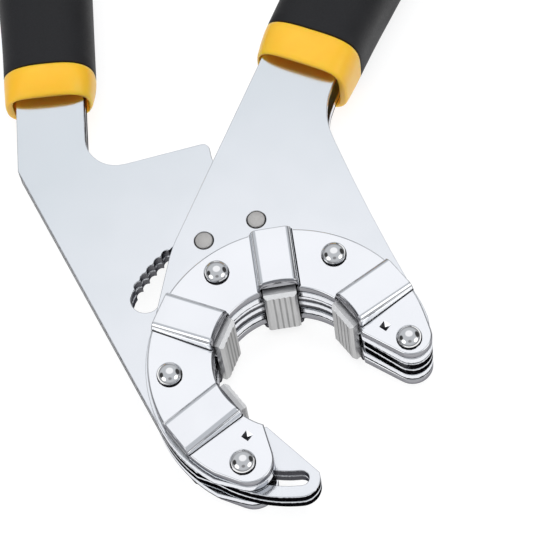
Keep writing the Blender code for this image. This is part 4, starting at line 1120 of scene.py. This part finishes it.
def core_rings(shape):
    """The core from the floor of its mouth, out over the lip and the collar, to its far end."""
    rounding = COLLAR_ROUNDING
    floor = shape.collar_end - COLLAR_FLOOR
    rings = [shape.mouth(floor, rounding), shape.mouth(floor - rounding)]
    rings += [shape.mouth(shape.start + rounding), shape.mouth(shape.start + rounding / 4, -rounding / 4)]
    for step in range(EDGE_STEPS + 1):
        turn = math.pi / 2 * step / EDGE_STEPS
        reach = shape.start + COLLAR_LIP * (1 - math.cos(turn))
        rings.append(shape.outer_ring(reach, COLLAR_LIP / 2 * (1 - math.sin(turn))))
    first = shape.start + COLLAR_LIP
    last = shape.collar_end - rounding / 2
    for step in range(1, COLLAR_STEPS + 1):
        rings.append(shape.outer_ring(first + (last - first) * step / COLLAR_STEPS, 0))
    rings.append(shape.outer_ring(shape.collar_end, rounding / 2))
    far = shape.end - SLEEVE_END_THICKNESS
    return rings + [shape.ring(shape.collar_end, SLEEVE_THICKNESS), shape.ring(far, SLEEVE_THICKNESS)]


def sleeve_rings(shape):
    """The sleeve from its edge at the collar to its rounded end."""
    first = shape.collar_end + LAYER_GAP
    straight_end = shape.end - SLEEVE_END_ROUNDING
    rounding = LAYER_GAP
    rings = [shape.ring(first, SLEEVE_THICKNESS - LAYER_GAP), shape.swollen_ring(first, rounding)]
    rings.append(shape.swollen_ring(first + rounding / 3, rounding / 3))
    start = first + rounding
    for step in range(SLEEVE_STEPS + 1):
        rings.append(shape.swollen_ring(start + (straight_end - start) * step / SLEEVE_STEPS, 0))
    for degrees in SLEEVE_END_TURNS_DEG:
        turn = math.radians(degrees)
        inset = SLEEVE_END_ROUNDING / 2 * (1 - math.cos(turn))
        rings.append(shape.swollen_ring(straight_end + SLEEVE_END_ROUNDING * math.sin(turn), inset))
    return rings


def make_grip(name):
    shape = GripShape(name)
    along = polar(1, shape.direction)
    across = Vector((along.y, -along.x))
    place = Matrix.Translation(HEAD + (across * -shape.offset).to_3d())
    place = place @ Matrix.Rotation(math.radians(shape.direction - 90), 4, "Z")
    for part, rings in (("core", core_rings(shape)), ("sleeve", sleeve_rings(shape))):
        node = f"{name}_grip_{part}"
        add_piece(skin(node + "_shell", rings, place), node, weighted=False)


# Studio

SKY_LOW = (0.22, 0.22, 0.23)
SKY_HIGH = (0.55, 0.57, 0.60)
SKY_RISE = (0.02, 0.5)
WORLD_PATCHES = (
    # direction, degrees to where the patch starts to fade and to where it ends, colour
    ((-0.80, 0.14, 0.52), 13, 20, grey(0.05)),
    ((0.80, 0.28, 0.45), 15, 23, grey(0.05)),
    ((0, -0.52, 0.85), 8, 15, (0.26, 0.26, 0.27)),
    ((0.05, 0.42, 0.91), 17, 25, (1.0, 1.01, 1.04)),
    ((-0.70, -0.38, 0.58), 14, 19, grey(1.5)),
    ((0.70, -0.38, 0.58), 14, 19, grey(1.5)),
)
FLOOR_SIZE = 3.0
FLOOR_GAP = 0.0001
FLOOR_GRAIN = 900
FLOOR_COLOURS = (grey(0.24), grey(0.26))
FLOOR_GLOW = 0.82
LAMP_HEIGHT = 0.9
LAMP_SIZE = 0.9
LAMP_POWER = 5


def world_patch(tree, colour, direction, patch, inner_deg, outer_deg, patch_colour):
    """Blends a round soft patch of light or dark into the surroundings."""
    dot = tree.nodes.new("ShaderNodeVectorMath")
    dot.operation = "DOT_PRODUCT"
    tree.links.new(direction, dot.inputs[0])
    dot.inputs[1].default_value = Vector(patch).normalized()
    outer = math.cos(math.radians(outer_deg))
    inner = math.cos(math.radians(inner_deg))
    share = spread(tree, dot.outputs["Value"], 0, 1, outer, inner, smooth=True)
    return mix_colour(tree, share, colour, patch_colour)


def make_world():
    world = bpy.data.worlds.new("studio")
    bpy.context.scene.world = world
    world.use_nodes = True
    tree = world.node_tree
    background = tree.nodes["Background"]
    coordinates = tree.nodes.new("ShaderNodeTexCoord")
    direction = coordinates.outputs["Generated"]
    split = tree.nodes.new("ShaderNodeSeparateXYZ")
    tree.links.new(direction, split.inputs["Vector"])
    up = spread(tree, split.outputs["Z"], 0, 1, *SKY_RISE, smooth=True)
    colour = mix_colour(tree, up, SKY_LOW, SKY_HIGH)
    for patch, inner, outer, tint in WORLD_PATCHES:
        colour = world_patch(tree, colour, direction, patch, inner, outer, tint)
    tree.links.new(colour, background.inputs["Color"])
    background.inputs["Strength"].default_value = 1


def make_floor():
    """Plain paper with a glow of its own, so that it stays pale under the soft light."""
    work = bmesh.new()
    corners = [
        work.verts.new((x * FLOOR_SIZE, y * FLOOR_SIZE, -FLOOR_GAP))
        for x, y in ((-1, -1), (1, -1), (1, 1), (-1, 1))
    ]
    work.faces.new(corners)
    floor = new_object("floor", to_mesh(work, "floor", False))
    made, tree, shader = new_material("floor_paper")
    grain = noise(tree, object_place(tree), FLOOR_GRAIN, 2)
    tree.links.new(mix_colour(tree, grain, *FLOOR_COLOURS), shader.inputs["Base Color"])
    shader.inputs["Roughness"].default_value = 0.9
    shader.inputs["Specular IOR Level"].default_value = 0.1
    shader.inputs["Emission Color"].default_value = (1, 1, 1, 1)
    shader.inputs["Emission Strength"].default_value = FLOOR_GLOW
    floor.data.materials.append(made)


def make_camera():
    data = bpy.data.cameras.new("photo_camera")
    data.lens = CAMERA_LENS
    data.sensor_width = CAMERA_SENSOR
    data.clip_start, data.clip_end = CAMERA_CLIPS
    camera = new_object("photo_camera", data)
    camera.rotation_mode = "QUATERNION"
    camera.location = HEAD + CAMERA_PLACE
    camera.rotation_quaternion = CAMERA_TURN
    bpy.context.scene.camera = camera


def make_lamp():
    """A broad soft light overhead that fills matt surfaces. Mirrors see the sky instead."""
    data = bpy.data.lights.new("overhead", "AREA")
    data.shape = "DISK"
    data.size = LAMP_SIZE
    data.energy = LAMP_POWER
    lamp = new_object("overhead", data)
    lamp.location = (0, 0, LAMP_HEIGHT)
    lamp.visible_glossy = False


def main():
    make_plate("right_plate_front")
    make_plate("right_plate_rear")
    make_slotted_plate("left_plate_front")
    make_slotted_plate("left_plate_rear")
    make_cover("front_cover", 1)
    make_cover("rear_cover", -1)
    make_rivets()
    make_guide_pins()
    for number, angle in enumerate(JAW_ANGLES_DEG, 1):
        make_jaw(f"jaw_{number}", angle)
    for name in GRIPS:
        make_grip(name)
    for name, node in nodes.items():
        node.data.materials.clear()
        node.data.materials.append(MATERIALS[SLOT_OF[name]])
    make_world()
    make_floor()
    make_lamp()
    make_camera()
    bpy.context.scene.view_settings.view_transform = "Standard"


main()
